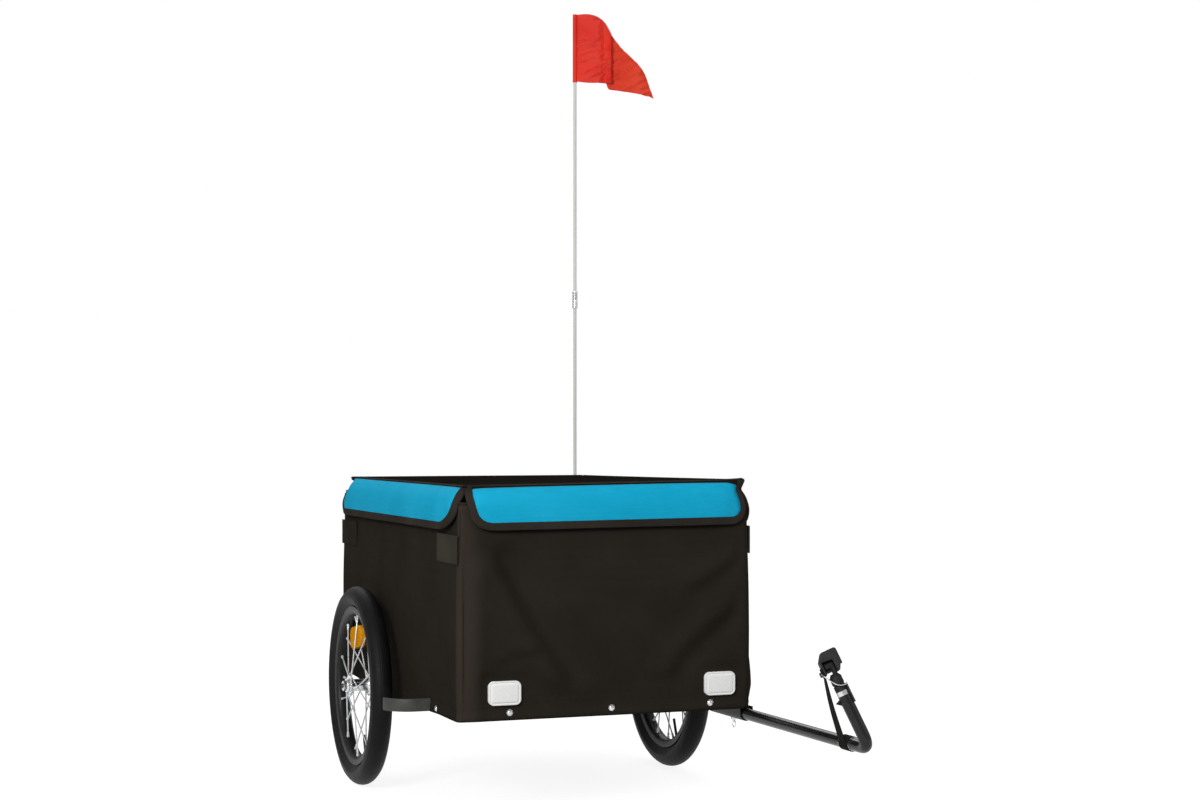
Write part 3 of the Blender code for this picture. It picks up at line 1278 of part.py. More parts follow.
def along_points(points, x):
    """Height on a line through points, at a distance x."""
    for (x0, y0), (x1, y1) in zip(points, points[1:]):
        if x <= x1:
            return y0 + (y1 - y0) * (x - x0) / (x1 - x0)
    return points[-1][1]


def flag_sway(out):
    """How far the flag's cloth stands off its plane: a belly, a crease and a straight tail."""
    if out < FLAG_CREASE:
        return -FLAG_SWAY * math.sin(math.pi * out / FLAG_CREASE) * 0.6
    tail = (out - FLAG_CREASE) / (FLAG_TOP[-1][0] - FLAG_CREASE)
    return FLAG_SWAY * math.sin(math.pi * 0.75 * tail)


def make_flag():
    """Pennant on a sleeve, its free end drooping behind one upright fold."""
    heading = FLAG_HEADING.normalized()
    sideways = Vector((-heading.y, heading.x, 0.0))
    start = POLE_RADIUS + SEAT + FLAG_CLOTH
    fly = FLAG_TOP[-1][0]
    columns, rows = 16, 5
    bm = bmesh.new()
    grid = []
    for i in range(columns + 1):
        out = start + (fly - start) * i / columns
        top, bottom = along_points(FLAG_TOP, out), along_points(FLAG_BOTTOM, out)
        line = []
        for j in range(rows + 1):
            drop = top + (bottom - top) * j / rows
            point = Vector((POLE_X, POLE_Y, POLE_TOP_Z - drop)) + heading * out
            line.append(bm.verts.new(point + sideways * flag_sway(out)))
        grid.append(line)
    add_grid_faces(bm, grid)
    flag = add_object("flag", bm, FLAG_RED)
    solidify(flag, FLAG_CLOTH)
    inner, outer = POLE_RADIUS + SEAT, POLE_RADIUS + SEAT + 2 * FLAG_CLOTH
    top_z = POLE_TOP_Z - FLAG_TOP[0][1]
    low_z = top_z - FLAG_HOIST
    join(flag, turned("flag_sleeve", [(inner, low_z), (outer, low_z), (outer, top_z), (inner, top_z)],
                      COARSE, Matrix.Translation((POLE_X, POLE_Y, 0)), FLAG_RED))


make_base_frame()
make_posts()
make_top_rim()
make_floor_panel()
make_tub()
make_cover()
for flap_side in FLAPS:
    make_inset(flap_side)
make_tabs()
make_box_reflectors()
for side_name, side_sign in (("left", 1), ("right", -1)):
    make_carrier(side_name, side_sign)
    make_guard(side_name, side_sign)
    make_wheel(side_name, side_sign)
make_tow_arm()
make_arm_bracket()
make_lock_pin()
make_coupling()
make_strap(make_strap_band())
make_flag_socket()
make_poles()
make_flag()
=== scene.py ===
# Looks of the bicycle cargo trailer: its cloth, rubber, steel and plastic, with camera and light.
# Metres, +Z up. The trailer's front faces -Y and its own left side is +X.
import json
import math
from collections import namedtuple

import bmesh
import bpy
from mathutils import Matrix, Vector, noise


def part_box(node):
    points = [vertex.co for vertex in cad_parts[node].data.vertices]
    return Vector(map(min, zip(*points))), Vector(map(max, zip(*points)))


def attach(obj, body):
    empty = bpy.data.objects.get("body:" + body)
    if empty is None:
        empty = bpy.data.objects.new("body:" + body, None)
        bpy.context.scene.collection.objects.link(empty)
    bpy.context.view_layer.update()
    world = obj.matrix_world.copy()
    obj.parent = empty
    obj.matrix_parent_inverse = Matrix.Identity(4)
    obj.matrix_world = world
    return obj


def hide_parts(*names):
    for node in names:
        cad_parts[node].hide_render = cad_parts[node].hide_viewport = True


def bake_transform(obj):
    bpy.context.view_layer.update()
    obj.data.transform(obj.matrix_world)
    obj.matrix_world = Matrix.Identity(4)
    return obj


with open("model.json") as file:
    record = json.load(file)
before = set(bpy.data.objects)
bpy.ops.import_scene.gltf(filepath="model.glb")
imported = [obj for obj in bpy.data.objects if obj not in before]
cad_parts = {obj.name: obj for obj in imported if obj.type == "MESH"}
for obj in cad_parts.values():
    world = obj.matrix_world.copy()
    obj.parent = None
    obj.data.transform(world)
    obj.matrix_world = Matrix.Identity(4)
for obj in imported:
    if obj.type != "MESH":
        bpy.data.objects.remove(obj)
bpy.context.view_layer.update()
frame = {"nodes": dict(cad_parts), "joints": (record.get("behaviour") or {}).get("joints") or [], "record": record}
NODES = frame["nodes"]
JOINTS = {joint["name"]: joint for joint in frame["joints"]}

# Places that follow from the frame
TUB_LOW, TUB_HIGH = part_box("tub")
HALF_WIDTH = (TUB_HIGH[0] - TUB_LOW[0]) / 2
LENGTH = TUB_HIGH[1] - TUB_LOW[1]
MIDDLE_X = (TUB_HIGH[0] + TUB_LOW[0]) / 2
FRONT_Y = TUB_LOW[1]
HEM_Z = TUB_LOW[2]
WALL_TOP_Z = TUB_HIGH[2]
SIDES = {"left": 1, "right": -1}      # the sign of x on each side
X, Y, Z = Vector((1, 0, 0)), Vector((0, 1, 0)), Vector((0, 0, 1))


def at_box(x, y, z):
    """A place measured from the middle of the box's front face, on the ground."""
    return Vector((MIDDLE_X + x, FRONT_Y + y, z))


def corners(node):
    """The low and the high corner of a node's box."""
    low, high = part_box(node)
    return Vector(low), Vector(high)


# Camera, light and floor

CAMERA_AT = at_box(-1.3368, -3.5327, 0.7085)
CAMERA_TURN = math.radians(-20.52)
CAMERA_LENS = 61.5
CAMERA_SHIFT = 0.0285
SENSOR_WIDTH = 36.0
VIEW_END = 100.0
AMBIENT = 0.50
FLOOR_GLOW = 0.88
FLOOR_COLOUR = (0.26, 0.26, 0.26, 1.0)
FLOOR_SIZE = 12.0
FLOOR_Z = -0.0005
LIT_AT = Vector((0.0, 0.0, 0.4))
# Name, place, size and power of each lamp
LAMPS = [("key_light", Vector((-3.15, -3.5, 2.3)), 1.3, 168.0),
         ("fill_light", Vector((3.2, -2.6, 2.0)), 2.0, 10.0),
         ("rear_light", Vector((0.6, 3.4, 3.0)), 2.5, 45.0)]


def add_object(name, data):
    made = bpy.data.objects.new(name, data)
    bpy.context.collection.objects.link(made)
    return made


def add_mesh(name, bm):
    """An object from a bmesh, which is freed."""
    mesh = bpy.data.meshes.new(name)
    bm.to_mesh(mesh)
    bm.free()
    return add_object(name, mesh)


def make_camera():
    data = bpy.data.cameras.new("camera")
    data.lens = CAMERA_LENS
    data.sensor_width = SENSOR_WIDTH
    data.shift_y = CAMERA_SHIFT
    data.clip_end = VIEW_END
    camera = add_object("camera", data)
    camera.location = CAMERA_AT
    camera.rotation_euler = (math.pi / 2, 0.0, CAMERA_TURN)
    bpy.context.scene.camera = camera


def make_lamps():
    for name, place, size, power in LAMPS:
        data = bpy.data.lights.new(name, "AREA")
        data.size = size
        data.energy = power
        lamp = add_object(name, data)
        lamp.location = place
        lamp.rotation_euler = (LIT_AT - place).to_track_quat("-Z", "Y").to_euler()


def fill(tree, node, inputs):
    """Give a node's inputs values, or link them to other nodes' outputs."""
    for key, value in inputs.items():
        if isinstance(value, bpy.types.NodeSocket):
            tree.links.new(value, node.inputs[key])
        else:
            node.inputs[key].default_value = value


def add_node(tree, kind, inputs, **settings):
    node = tree.nodes.new(kind)
    for key, value in settings.items():
        setattr(node, key, value)
    fill(tree, node, inputs)
    return node


def either_ray(tree, first, second):
    """1 for rays of either kind, 0 for all others."""
    rays = add_node(tree, "ShaderNodeLightPath", {}).outputs
    return add_node(tree, "ShaderNodeMath", {0: rays[first], 1: rays[second]}, operation="MAXIMUM").outputs[0]


def make_world():
    """White for the camera and for rays through a surface, softer for the light on the object."""
    world = bpy.data.worlds.new("studio")
    world.use_nodes = True
    bpy.context.scene.world = world
    tree = world.node_tree
    shown = either_ray(tree, "Is Camera Ray", "Is Transmission Ray")
    strength = add_node(tree, "ShaderNodeMapRange", {"Value": shown, "To Min": AMBIENT, "To Max": 1.0})
    fill(tree, tree.nodes["Background"], {"Color": (1.0, 1.0, 1.0, 1.0), "Strength": strength.outputs[0]})


def make_floor():
    """A floor that shows white to the camera and in reflections, except where the trailer shades it."""
    bm = bmesh.new()
    bmesh.ops.create_grid(bm, x_segments=1, y_segments=1, size=FLOOR_SIZE)
    floor = add_mesh("floor", bm)
    floor.location = (0.0, 0.0, FLOOR_Z)
    mat = bpy.data.materials.new("floor_white")
    mat.use_nodes = True
    tree = mat.node_tree
    tree.nodes.clear()
    shown = either_ray(tree, "Is Camera Ray", "Is Glossy Ray")
    strength = add_node(tree, "ShaderNodeMath", {0: shown, 1: FLOOR_GLOW}, operation="MULTIPLY")
    glow = add_node(tree, "ShaderNodeEmission", {"Strength": strength.outputs[0]})
    diffuse = add_node(tree, "ShaderNodeBsdfDiffuse", {"Color": FLOOR_COLOUR})
    both = add_node(tree, "ShaderNodeAddShader", {0: diffuse.outputs[0], 1: glow.outputs[0]})
    add_node(tree, "ShaderNodeOutputMaterial", {"Surface": both.outputs[0]})
    floor.data.materials.append(mat)


def make_studio():
    bpy.context.scene.view_settings.view_transform = "Standard"
    make_camera()
    make_world()
    make_floor()
    make_lamps()


# Materials

WAVE_PERIOD = 0.314      # length of one band of the wave texture at a scale of 1
PRISM = 0.0026           # size of a reflector's prisms
THREAD_SHADE = (0.55, 0.55, 0.55, 1.0)
THREAD_CONTRAST = 0.35


def srgb(red, green, blue):
    """A screen colour of 0 to 255 as the linear values that shaders take."""
    shares = [c / 255 for c in (red, green, blue)]
    return (*[((c + 0.055) / 1.055) ** 2.4 if c > 0.04 else c / 12.92 for c in shares], 1.0)


class Finish:
    """A material with its shader, and short calls that add texture to it."""

    def __init__(self, name, roughness, metallic=0.0, shine=0.5):
        self.mat = bpy.data.materials.new(name)
        self.mat.use_nodes = True
        self.shader = self.mat.node_tree.nodes["Principled BSDF"]
        self.give({"Roughness": roughness, "Metallic": metallic, "Specular IOR Level": shine})
        self.place = self.node("ShaderNodeTexCoord", {}).outputs["Object"]
        self.bumps = None

    def node(self, kind, inputs, **settings):
        return add_node(self.mat.node_tree, kind, inputs, **settings)

    def give(self, inputs):
        fill(self.mat.node_tree, self.shader, inputs)

    def noise(self, scale, detail=3.0, stretch=(1.0, 1.0, 1.0)):
        place = self.node("ShaderNodeMapping", {"Vector": self.place, "Scale": stretch}).outputs[0]
        inputs = {"Vector": place, "Scale": scale, "Detail": detail}
        return self.node("ShaderNodeTexNoise", inputs).outputs["Fac"]

    def cells(self, scale):
        inputs = {"Vector": self.place, "Scale": scale}
        return self.node("ShaderNodeTexVoronoi", inputs, feature="F1").outputs["Distance"]

    def band(self, axis, pitch):
        inputs = {"Vector": self.place, "Scale": WAVE_PERIOD / pitch}
        return self.node("ShaderNodeTexWave", inputs, bands_direction=axis).outputs["Fac"]

    def weave(self, pitch):
        """Threads along all three axes, so that every wall of a box shows two of them crossing."""
        total = self.band("X", pitch)
        for axis in ("Y", "Z"):
            both = self.node("ShaderNodeMath", {0: total, 1: self.band(axis, pitch)}, operation="ADD")
            total = both.outputs[0]
        return total

    def colours(self, field, dark, light, low=0.35, high=0.65):
        """From one screen colour to another, by a field."""
        ramp = self.node("ShaderNodeValToRGB", {"Fac": field})
        ramp.color_ramp.elements[0].position = low
        ramp.color_ramp.elements[0].color = srgb(*dark)
        ramp.color_ramp.elements[1].position = high
        ramp.color_ramp.elements[1].color = srgb(*light)
        self.give({"Base Color": ramp.outputs["Color"]})

    def blend_over(self, mode, factor, colour):
        """Mix a colour into the base colour so far."""
        base = self.shader.inputs["Base Color"].links[0].from_socket
        inputs = {"Factor": factor, "A": base, "B": colour}
        mix = self.node("ShaderNodeMix", inputs, data_type="RGBA", blend_type=mode)
        self.give({"Base Color": mix.outputs["Result"]})

    def speckle(self, field):
        """Darken the colour where a field is low."""
        ramp = self.node("ShaderNodeValToRGB", {"Fac": field})
        ramp.color_ramp.elements[0].color = THREAD_SHADE
        self.blend_over("MULTIPLY", THREAD_CONTRAST, ramp.outputs["Color"])

    def paint_corner_light(self, light, amount, x_span, y_span):
        """Paler towards the low ends of a stretch of x and a stretch of y: a painted highlight along a corner."""
        split = self.node("ShaderNodeSeparateXYZ", {0: self.place})
        shares = {}
        for index, (axis, (start, end), most) in enumerate((("X", x_span, amount), ("Y", y_span, 1.0))):
            inputs = {"Value": split.outputs[axis], "From Min": start, "From Max": end, "To Min": most,
                      "To Max": 0.0}
            share = self.node("ShaderNodeMapRange", inputs, interpolation_type="SMOOTHSTEP")
            shares[index] = share.outputs[0]
        both = self.node("ShaderNodeMath", shares, operation="MULTIPLY")
        self.blend_over("MIX", both.outputs[0], srgb(*light))

    def rough(self, field, low, high):
        spread = self.node("ShaderNodeMapRange", {"Value": field, "To Min": low, "To Max": high})
        self.give({"Roughness": spread.outputs[0]})

    def bump(self, field, depth, strength):
        inputs = {"Height": field, "Distance": depth, "Strength": strength}
        if self.bumps:
            inputs["Normal"] = self.bumps
        self.bumps = self.node("ShaderNodeBump", inputs).outputs["Normal"]
        self.give({"Normal": self.bumps})


def cloth(name, dark, light, pitch, roughness, shine=0.0, crumple=0.0006):
    """Woven cloth: mottled colour, crossed threads and a soft crumple."""
    finish = Finish(name, roughness, shine=shine)
    finish.colours(finish.noise(9.0, 5.0), dark, light)
    threads = finish.weave(pitch)
    finish.speckle(threads)
    finish.rough(finish.noise(40.0), roughness - 0.08, roughness + 0.08)
    finish.bump(threads, pitch * 0.25, 0.6)
    finish.bump(finish.noise(28.0, 4.0), crumple, 0.7)
    return finish


def mottled(name, roughness, dark, light, mottle, uneven=None, grain=None, metallic=0.0, shine=0.5):
    """Mottled colour, with uneven roughness and a fine grain where they are given."""
    finish = Finish(name, roughness, metallic, shine)
    finish.colours(finish.noise(*mottle), dark, light)
    if uneven:
        scale, low, high = uneven
        finish.rough(finish.noise(scale), low, high)
    if grain:
        field, depth, strength = grain
        finish.bump(finish.noise(*field), depth, strength)
    return finish


def lens(name, dark, light, shine=0.20):
    """Reflector plastic: prisms show faintly through a smooth front."""
    finish = Finish(name, 0.38, shine=shine)
    prisms = finish.cells(1.0 / PRISM)
    finish.colours(prisms, dark, light, 0.1, 0.9)
    finish.bump(prisms, 0.0001, 0.5)
    return finish


BLACK_CLOTH = cloth("black_coated_cloth", (40, 36, 31), (48, 44, 38), 0.0009, 0.85, 0.01)
COVER_CLOTH = cloth("black_cover_cloth", (26, 24, 20), (32, 29, 25), 0.0009, 0.85)
WALL_CLOTH = cloth("black_wall_cloth", (40, 36, 31), (44, 40, 35), 0.0009, 0.85, 0.01, 0.0003)
# Painted highlight: a paler strip up the wall cloth beside the near front corner, standing in for the light caught
# there
CORNER_X = MIDDLE_X - HALF_WIDTH
WALL_CLOTH.paint_corner_light((60, 54, 48), 0.65, (CORNER_X + 0.012, CORNER_X + 0.050), (FRONT_Y + 0.004, FRONT_Y + 0.014))
BINDING_TAPE = cloth("binding_tape", (44, 40, 36), (54, 49, 44), 0.0012, 0.80, 0.02)
WEBBING = cloth("webbing", (26, 25, 24), (34, 33, 31), 0.0016, 0.75, 0.05, 0.0003)
TAB_TAPE = cloth("hook_and_loop_tape", (54, 50, 45), (64, 60, 53), 0.0014, 0.85, 0.02, 0.0004)
BLUE_CLOTH = cloth("blue_coated_cloth", (20, 164, 204), (28, 172, 212), 0.0009, 0.70, 0.02, 0.0005)
FLAG_CLOTH = cloth("red_flag_cloth", (222, 34, 20), (244, 54, 34), 0.0012, 0.24, 0.30, 0.0012)
# Painted light: the same red flag cloth made paler and more orange for the far fold, where the light falls on it
# differently
FLAG_FAR_PAINTED_LIGHT = cloth("red_flag_cloth_painted_light", (226, 62, 42), (238, 78, 52), 0.0012, 0.45, 0.10, 0.0008)
PAINT = mottled("satin_black_paint", 0.36, (20, 20, 20), (28, 28, 28), (30.0, 4.0), (120.0, 0.20, 0.32),
                ((900.0, 2.0), 0.0001, 0.35), shine=0.30)
GUARD_PAINT = mottled("matt_grey_paint", 0.5, (56, 56, 54), (68, 68, 66), (30.0, 4.0),
                      (120.0, 0.44, 0.58), ((900.0, 2.0), 0.0001, 0.35), shine=0.30)
# Duller than the paint: the rims and the arm's bracket
RIM_BLACK = mottled("black_anodised_rim", 0.45, (20, 20, 20), (28, 28, 28), (60.0, 4.0),
                    (150.0, 0.36, 0.54), ((700.0, 2.0), 0.00005, 0.4), shine=0.25)
SPOKE_WIRE = mottled("galvanised_spokes", 0.38, (196, 198, 200), (222, 223, 224), (140.0, 4.0),
                     (220.0, 0.30, 0.46), metallic=0.35)
STEEL = mottled("zinc_plated_steel", 0.24, (188, 190, 192), (226, 228, 230), (140.0, 4.0),
                (220.0, 0.16, 0.32), ((600.0, 2.0), 0.00005, 0.4), metallic=1.0)
ALLOY = mottled("polished_alloy", 0.20, (206, 208, 210), (238, 239, 240), (60.0, 3.0), (160.0, 0.12, 0.28),
                metallic=1.0)
TYRE = mottled("tyre_rubber", 0.55, (14, 14, 14), (21, 21, 21), (22.0, 5.0), (90.0, 0.46, 0.62),
               ((1200.0, 2.0), 0.0001, 0.5), shine=0.12)
RUBBER = mottled("soft_rubber", 0.55, (24, 24, 24), (36, 36, 36), (70.0, 4.0),
                 grain=((380.0, 3.0), 0.0002, 0.5), shine=0.20)
PLASTIC = mottled("moulded_black_plastic", 0.48, (30, 30, 30), (40, 40, 40), (80.0, 3.0),
                  (160.0, 0.42, 0.56), shine=0.25)
PLASTIC.bump(PLASTIC.cells(1500.0), 0.0001, 0.5)
BOARD = mottled("floor_board", 0.7, (58, 55, 50), (78, 74, 68), (16.0, 6.0, (1.0, 0.2, 1.0)),
                grain=((220.0, 4.0), 0.0003, 0.5))
FIBRE = mottled("white_glass_fibre", 0.34, (206, 205, 198), (226, 225, 219), (40.0, 4.0, (1.0, 1.0, 0.05)),
                grain=((300.0, 2.0, (1.0, 1.0, 0.02)), 0.0001, 0.4))
WHITE_LENS = lens("white_reflector", (232, 232, 231), (240, 240, 239))
RED_LENS = lens("red_reflector", (120, 8, 8), (190, 24, 20))
ORANGE_LENS = lens("orange_reflector", (200, 122, 6), (230, 164, 30), 0.0)

SLOT_FINISHES = {
    "black_frame": PAINT, "bare_steel": STEEL, "alloy_hub": ALLOY, "black_plastic": PLASTIC,
    "tyre_rubber": TYRE, "soft_rubber": RUBBER, "floor_board": BOARD, "white_lens": WHITE_LENS,
    "red_lens": RED_LENS, "orange_lens": ORANGE_LENS, "white_pole": FIBRE,
    "black_fabric": BLACK_CLOTH, "blue_fabric": BLUE_CLOTH, "black_webbing": WEBBING,
    "flag_fabric": FLAG_CLOTH,
}
OWN_FINISHES = {"top_rim": BLACK_CLOTH, "hitch_pin": PAINT}


def finish_nodes():
    """Every node of the frame gets the finish of its material slot, apart from those with their own."""
    for part in frame["record"]["subparts"]:
        finish = OWN_FINISHES.get(part["node"], SLOT_FINISHES[part["material_slot"]])
        materials = NODES[part["node"]].data.materials
        materials.clear()
        materials.append(finish.mat)


# Mesh helpers

def add_piece(name, bm, finish, body, node=None, thick=0.0, smooth=40.0):
    """Turn a bmesh in the frame's coordinates into a piece on a body, in place of a node if one is given."""
    bmesh.ops.recalc_face_normals(bm, faces=bm.faces)
    piece = add_mesh(name, bm)
    piece.data.shade_smooth()
    piece.data.set_sharp_from_angle(angle=math.radians(smooth))
    piece.data.materials.append(finish.mat)
    if thick:
        thicken(piece, thick)
    if node:
        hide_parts(node)
    if body:
        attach(piece, body)
    return piece


def drawn(add, *values):
    """A new bmesh with what one of the add functions draws in it."""
    bm = bmesh.new()
    add(bm, *values)
    return bm


def add_grid(bm, rows, closed=False):
    """Faces over rows of points, closed round each row if asked."""
    made = [[bm.verts.new(point) for point in row] for row in rows]
    for upper, lower in zip(made, made[1:]):
        count = len(upper) if closed else len(upper) - 1
        for i in range(count):
            j = (i + 1) % len(upper)
            bm.faces.new((upper[i], upper[j], lower[j], lower[i]))
    return made


def thicken(piece, thickness, offset=0.0):
    modifier = piece.modifiers.new("thickness", "SOLIDIFY")
    modifier.thickness = thickness
    modifier.offset = offset


def soften(piece, width, segments=2):
    modifier = piece.modifiers.new("soft_edges", "BEVEL")
    modifier.width = width
    modifier.segments = segments
    modifier.limit_method = "ANGLE"
    modifier.angle_limit = math.radians(35)


def axis_matrix(origin, axis, side=(0.0, 0.0, 1.0)):
    """A frame at origin with its Z along axis and its X as close to side as it can be."""
    z = Vector(axis).normalized()
    x = Vector(side) - z * z.dot(Vector(side))
    if x.length < 1e-6:
        x = X - z * z.x
    x.normalize()
    rotation = Matrix((x, z.cross(x), z)).transposed()
    return Matrix.Translation(Vector(origin)) @ rotation.to_4x4()


def round_point(radius, angle, height):
    return Vector((radius * math.cos(angle), radius * math.sin(angle), height))


def add_lathe(bm, profile, matrix, segments, closed=True):
    """Spin a profile of (radius, height) points about the matrix's Z axis."""
    angles = [2 * math.pi * i / segments for i in range(segments)]
    rows = [[matrix @ round_point(radius, a, height) for a in angles] for radius, height in profile]
    if closed:
        rows.append(rows[0])
    add_grid(bm, rows, closed=True)
    bmesh.ops.remove_doubles(bm, verts=bm.verts, dist=1e-7)


def add_loft(bm, rows):
    """A closed skin over rows of points, with a face over each end."""
    made = add_grid(bm, rows, closed=True)
    bm.faces.new(made[0])
    bm.faces.new(made[-1])


def way_at(points, i):
    """Direction of a line of points at one of them."""
    return (points[min(i + 1, len(points) - 1)] - points[max(i - 1, 0)]).normalized()


def add_tube(bm, points, radius, sides, normal):
    """A round rod along points."""
    rings = []
    up = Vector(normal)
    angles = [2 * math.pi * k / sides for k in range(sides)]
    for i, point in enumerate(points):
        tangent = way_at(points, i)
        up = (up - tangent * tangent.dot(up)).normalized()
        across = tangent.cross(up)
        rings.append([point + (up * math.cos(a) + across * math.sin(a)) * radius for a in angles])
    add_loft(bm, rings)


def mirrored(half):
    """A closed profile from its (radius, height) points on one side of the middle."""
    return half + [(radius, -height) for radius, height in reversed(half) if height]


def cloth_area(rows):
    """Area of the cloth over rows of points."""
    area = 0.0
    for a, b in zip(rows, rows[1:]):
        for i in range(len(a) - 1):
            area += (a[i + 1] - a[i]).cross(b[i] - a[i]).length / 2
            area += (b[i + 1] - b[i]).cross(a[i + 1] - b[i + 1]).length / 2
    return area


def smooth_step(value):
    t = min(1.0, max(0.0, value))
    return t * t * (3 - 2 * t)


def curve_through(points, share):
    """Place on a smooth curve through points, share 0 to 1, each stretch equally long in share."""
    last = len(points) - 1
    place = min(max(share, 0.0), 1.0) * last
    i = min(int(place), last - 1)
    t = place - i
    p0, p1, p2, p3 = (points[min(max(k, 0), last)] for k in (i - 1, i, i + 1, i + 2))
    result = []
    for a, b, c, d in zip(p0, p1, p2, p3):
        result.append(0.5 * (2 * b + (c - a) * t + (2 * a - 5 * b + 4 * c - d) * t * t
                             + (3 * b - a - 3 * c + d) * t ** 3))
    return result


# Cover: one sheet of cloth with four flaps, their blue panels and the tape round the free edges

RIDGE_Z = 0.6135
FLAP_LENGTH = 0.0925     # along the cloth, from the ridge to the lower edge
TAPE_WIDTH = 0.0135
CLOTH = 0.0020
CORNER_RAISE = 0.0080    # rise of the ridge at the front corner on the left
EAR_RAISE = 0.0025       # and of the corner itself
CROWN = 0.004
TOP_WAVE = 0.0026
RIPPLE = 0.0020          # waves at a flap's lower edge
PANEL_LIFT = 0.0017      # from the flap's middle surface
PANEL_TUCK = 0.0020      # how far the panel reaches under the tape
DIP_RUN = 0.055          # length over which a panel's dipped corner rises
# Outward place and height below the ridge, at equal steps down the middle of a flap
FLAP_MIDDLE = [(-0.0240, 0.0), (-0.0115, 0.0072), (-0.0005, 0.0185), (0.0050, 0.0330),
               (0.0080, 0.0482), (0.0097, 0.0635), (0.0100, 0.0795)]

# Where a side starts, the way along it, the way out from it, and its length
FLAP_SIDES = {
    "front": (Vector((-HALF_WIDTH, 0, 0)), X, -Y, 2 * HALF_WIDTH),
    "rear": (Vector((-HALF_WIDTH, LENGTH, 0)), X, Y, 2 * HALF_WIDTH),
    "right": (Vector((-HALF_WIDTH, 0, 0)), Y, -X, LENGTH),
    "left": (Vector((HALF_WIDTH, 0, 0)), Y, X, LENGTH),
}
# One end of a flap. line: its distance from the box's corner and its outward place, down the cloth.
# run: the length over which the flap reaches its middle shape. border: from the flap's end to the panel's.
# round_off and panel_round: width and height of their lower corners. panel_dip: how far the panel's top
# corner hangs below the ridge. panel_tip: the radius of that corner.
FlapEnd = namedtuple("FlapEnd", "line run round_off border panel_round panel_dip panel_tip")
NEAR_SIDE_END = FlapEnd([(0.0125, -0.0125), (0.0155, -0.0155), (0.0140, -0.0105), (0.0060, 0.0010),
                         (0.0050, 0.0038), (0.0060, 0.0050), (0.0080, 0.0060)],
                        0.075, (0.100, 0.0365), 0.020, (0.066, 0.042), 0.0015, 0.010)
NEAR_FRONT_END = FlapEnd([(0.0125, -0.0125), (0.0155, -0.0155), (0.0155, -0.0105), (0.0166, 0.0010),
                          (0.0205, 0.0035), (0.0205, 0.0050), (0.0205, 0.0060)],
                         0.075, (0.050, 0.028), 0.0135, (0.027, 0.022), 0.0020, 0.008)
FAR_FRONT_END = FlapEnd([(0.0060, -0.0060), (0.0085, -0.0085), (0.0125, -0.0115), (0.0090, -0.0035),
                         (0.0070, 0.0015), (0.0075, 0.0035), (0.0080, 0.0040)],
                        0.080, (0.030, 0.025), 0.0110, (0.016, 0.014), 0.0030, 0.024)
PLAIN_END = FlapEnd([(0.0125, -0.0125), (0.0210, -0.0200), (0.0270, -0.0120), (0.0240, -0.0020),
                     (0.0130, 0.0020), (0.0090, 0.0030), (0.0100, 0.0030)],
                    0.080, (0.030, 0.025), 0.0115, (0.018, 0.016), 0.0, 0.014)
FLAP_ENDS = {"front": (NEAR_FRONT_END, FAR_FRONT_END), "rear": (PLAIN_END, PLAIN_END),
             "right": (NEAR_SIDE_END, PLAIN_END), "left": (FAR_FRONT_END, PLAIN_END)}


def ridge_raise(x, y):
    """The ridge climbs to the left along the front and falls again towards the rear."""
    to_left = (x + HALF_WIDTH) / (2 * HALF_WIDTH)
    to_corner = math.hypot(HALF_WIDTH - 0.006 - x, y - 0.006)
    ear = EAR_RAISE * math.exp(-(to_corner / 0.022) ** 2)
    return CORNER_RAISE * to_left * max(0.0, 1 - y / LENGTH) ** 1.2 + ear


def corner_round(below, size):
    """How far a lower corner of that (width, height) is drawn in, below its start."""
    width, height = size
    part = min(1.0, max(0.0, below / height))
    return width * (1 - math.sqrt(max(0.0, 1 - part * part)))


def flap_reach(side, down, border=False):
    """Where a flap, or the panel inside its border, starts and ends at a height."""
    length = FLAP_SIDES[side][3]
    lowest = FLAP_LENGTH - (TAPE_WIDTH if border else 0.0)
    reach = []
    for end in FLAP_ENDS[side]:
        place = curve_through(end.line, down / FLAP_LENGTH)[0]
        size = end.panel_round if border else end.round_off
        place += corner_round(down - (lowest - size[1]), size)
        if border:
            place += end.border
        reach.append(place)
    return reach[0], length - reach[1]


def flap_point(side, along, down):
    """Place on the flap's cloth, along from the box's corner and down from the ridge."""
    corner, way, outward, length = FLAP_SIDES[side]
    share = down / FLAP_LENGTH
    out, drop = curve_through(FLAP_MIDDLE, share)
    for end, distance in zip(FLAP_ENDS[side], (along, length - along)):
        edge, edge_out = curve_through(end.line, share)
        run = end.run * min(1.0, 0.45 + 1.2 * max(0.0, share - 0.5))
        out += (edge_out - out) * (1 - smooth_step((distance - edge) / run))
    place = corner + way * along
    lift = ridge_raise(place.x, place.y) * (1 - 0.35 * share)
    ripple = noise.noise(Vector((along * 9.0, share * 1.5, len(side)))) * RIPPLE * share
    place += outward * (out + ripple)
    return at_box(place.x, place.y, RIDGE_Z - drop + lift)


def flap_normal(side, along, down):
    outward = FLAP_SIDES[side][2]
    step = 0.001
    across = flap_point(side, along + step, down) - flap_point(side, along - step, down)
    fall = flap_point(side, along, down + step) - flap_point(side, along, max(0.0, down - step))
    normal = across.cross(fall).normalized()
    return normal if normal.dot(outward + Z * 0.3) > 0 else -normal


def off_flap(side, along, down, height):
    """Place at a height off the flap's cloth."""
    return flap_point(side, along, down) + flap_normal(side, along, down) * height


def falling(count, lowest, first=0.0):
    """Heights down a flap, closer together towards its rounded lower corners."""
    return [first + (lowest - first) * math.sin(i / count * math.pi / 2) for i in range(count + 1)]


def spread(first, last, count):
    """Both ends and the even steps between them."""
    return [first + (last - first) * i / count for i in range(count + 1)]


def flap_columns(side):
    return 44 if side in ("front", "rear") else 64


def ridge(side):
    start, end = flap_reach(side, 0.0)
    return [flap_point(side, along, 0.0) for along in spread(start, end, flap_columns(side))]


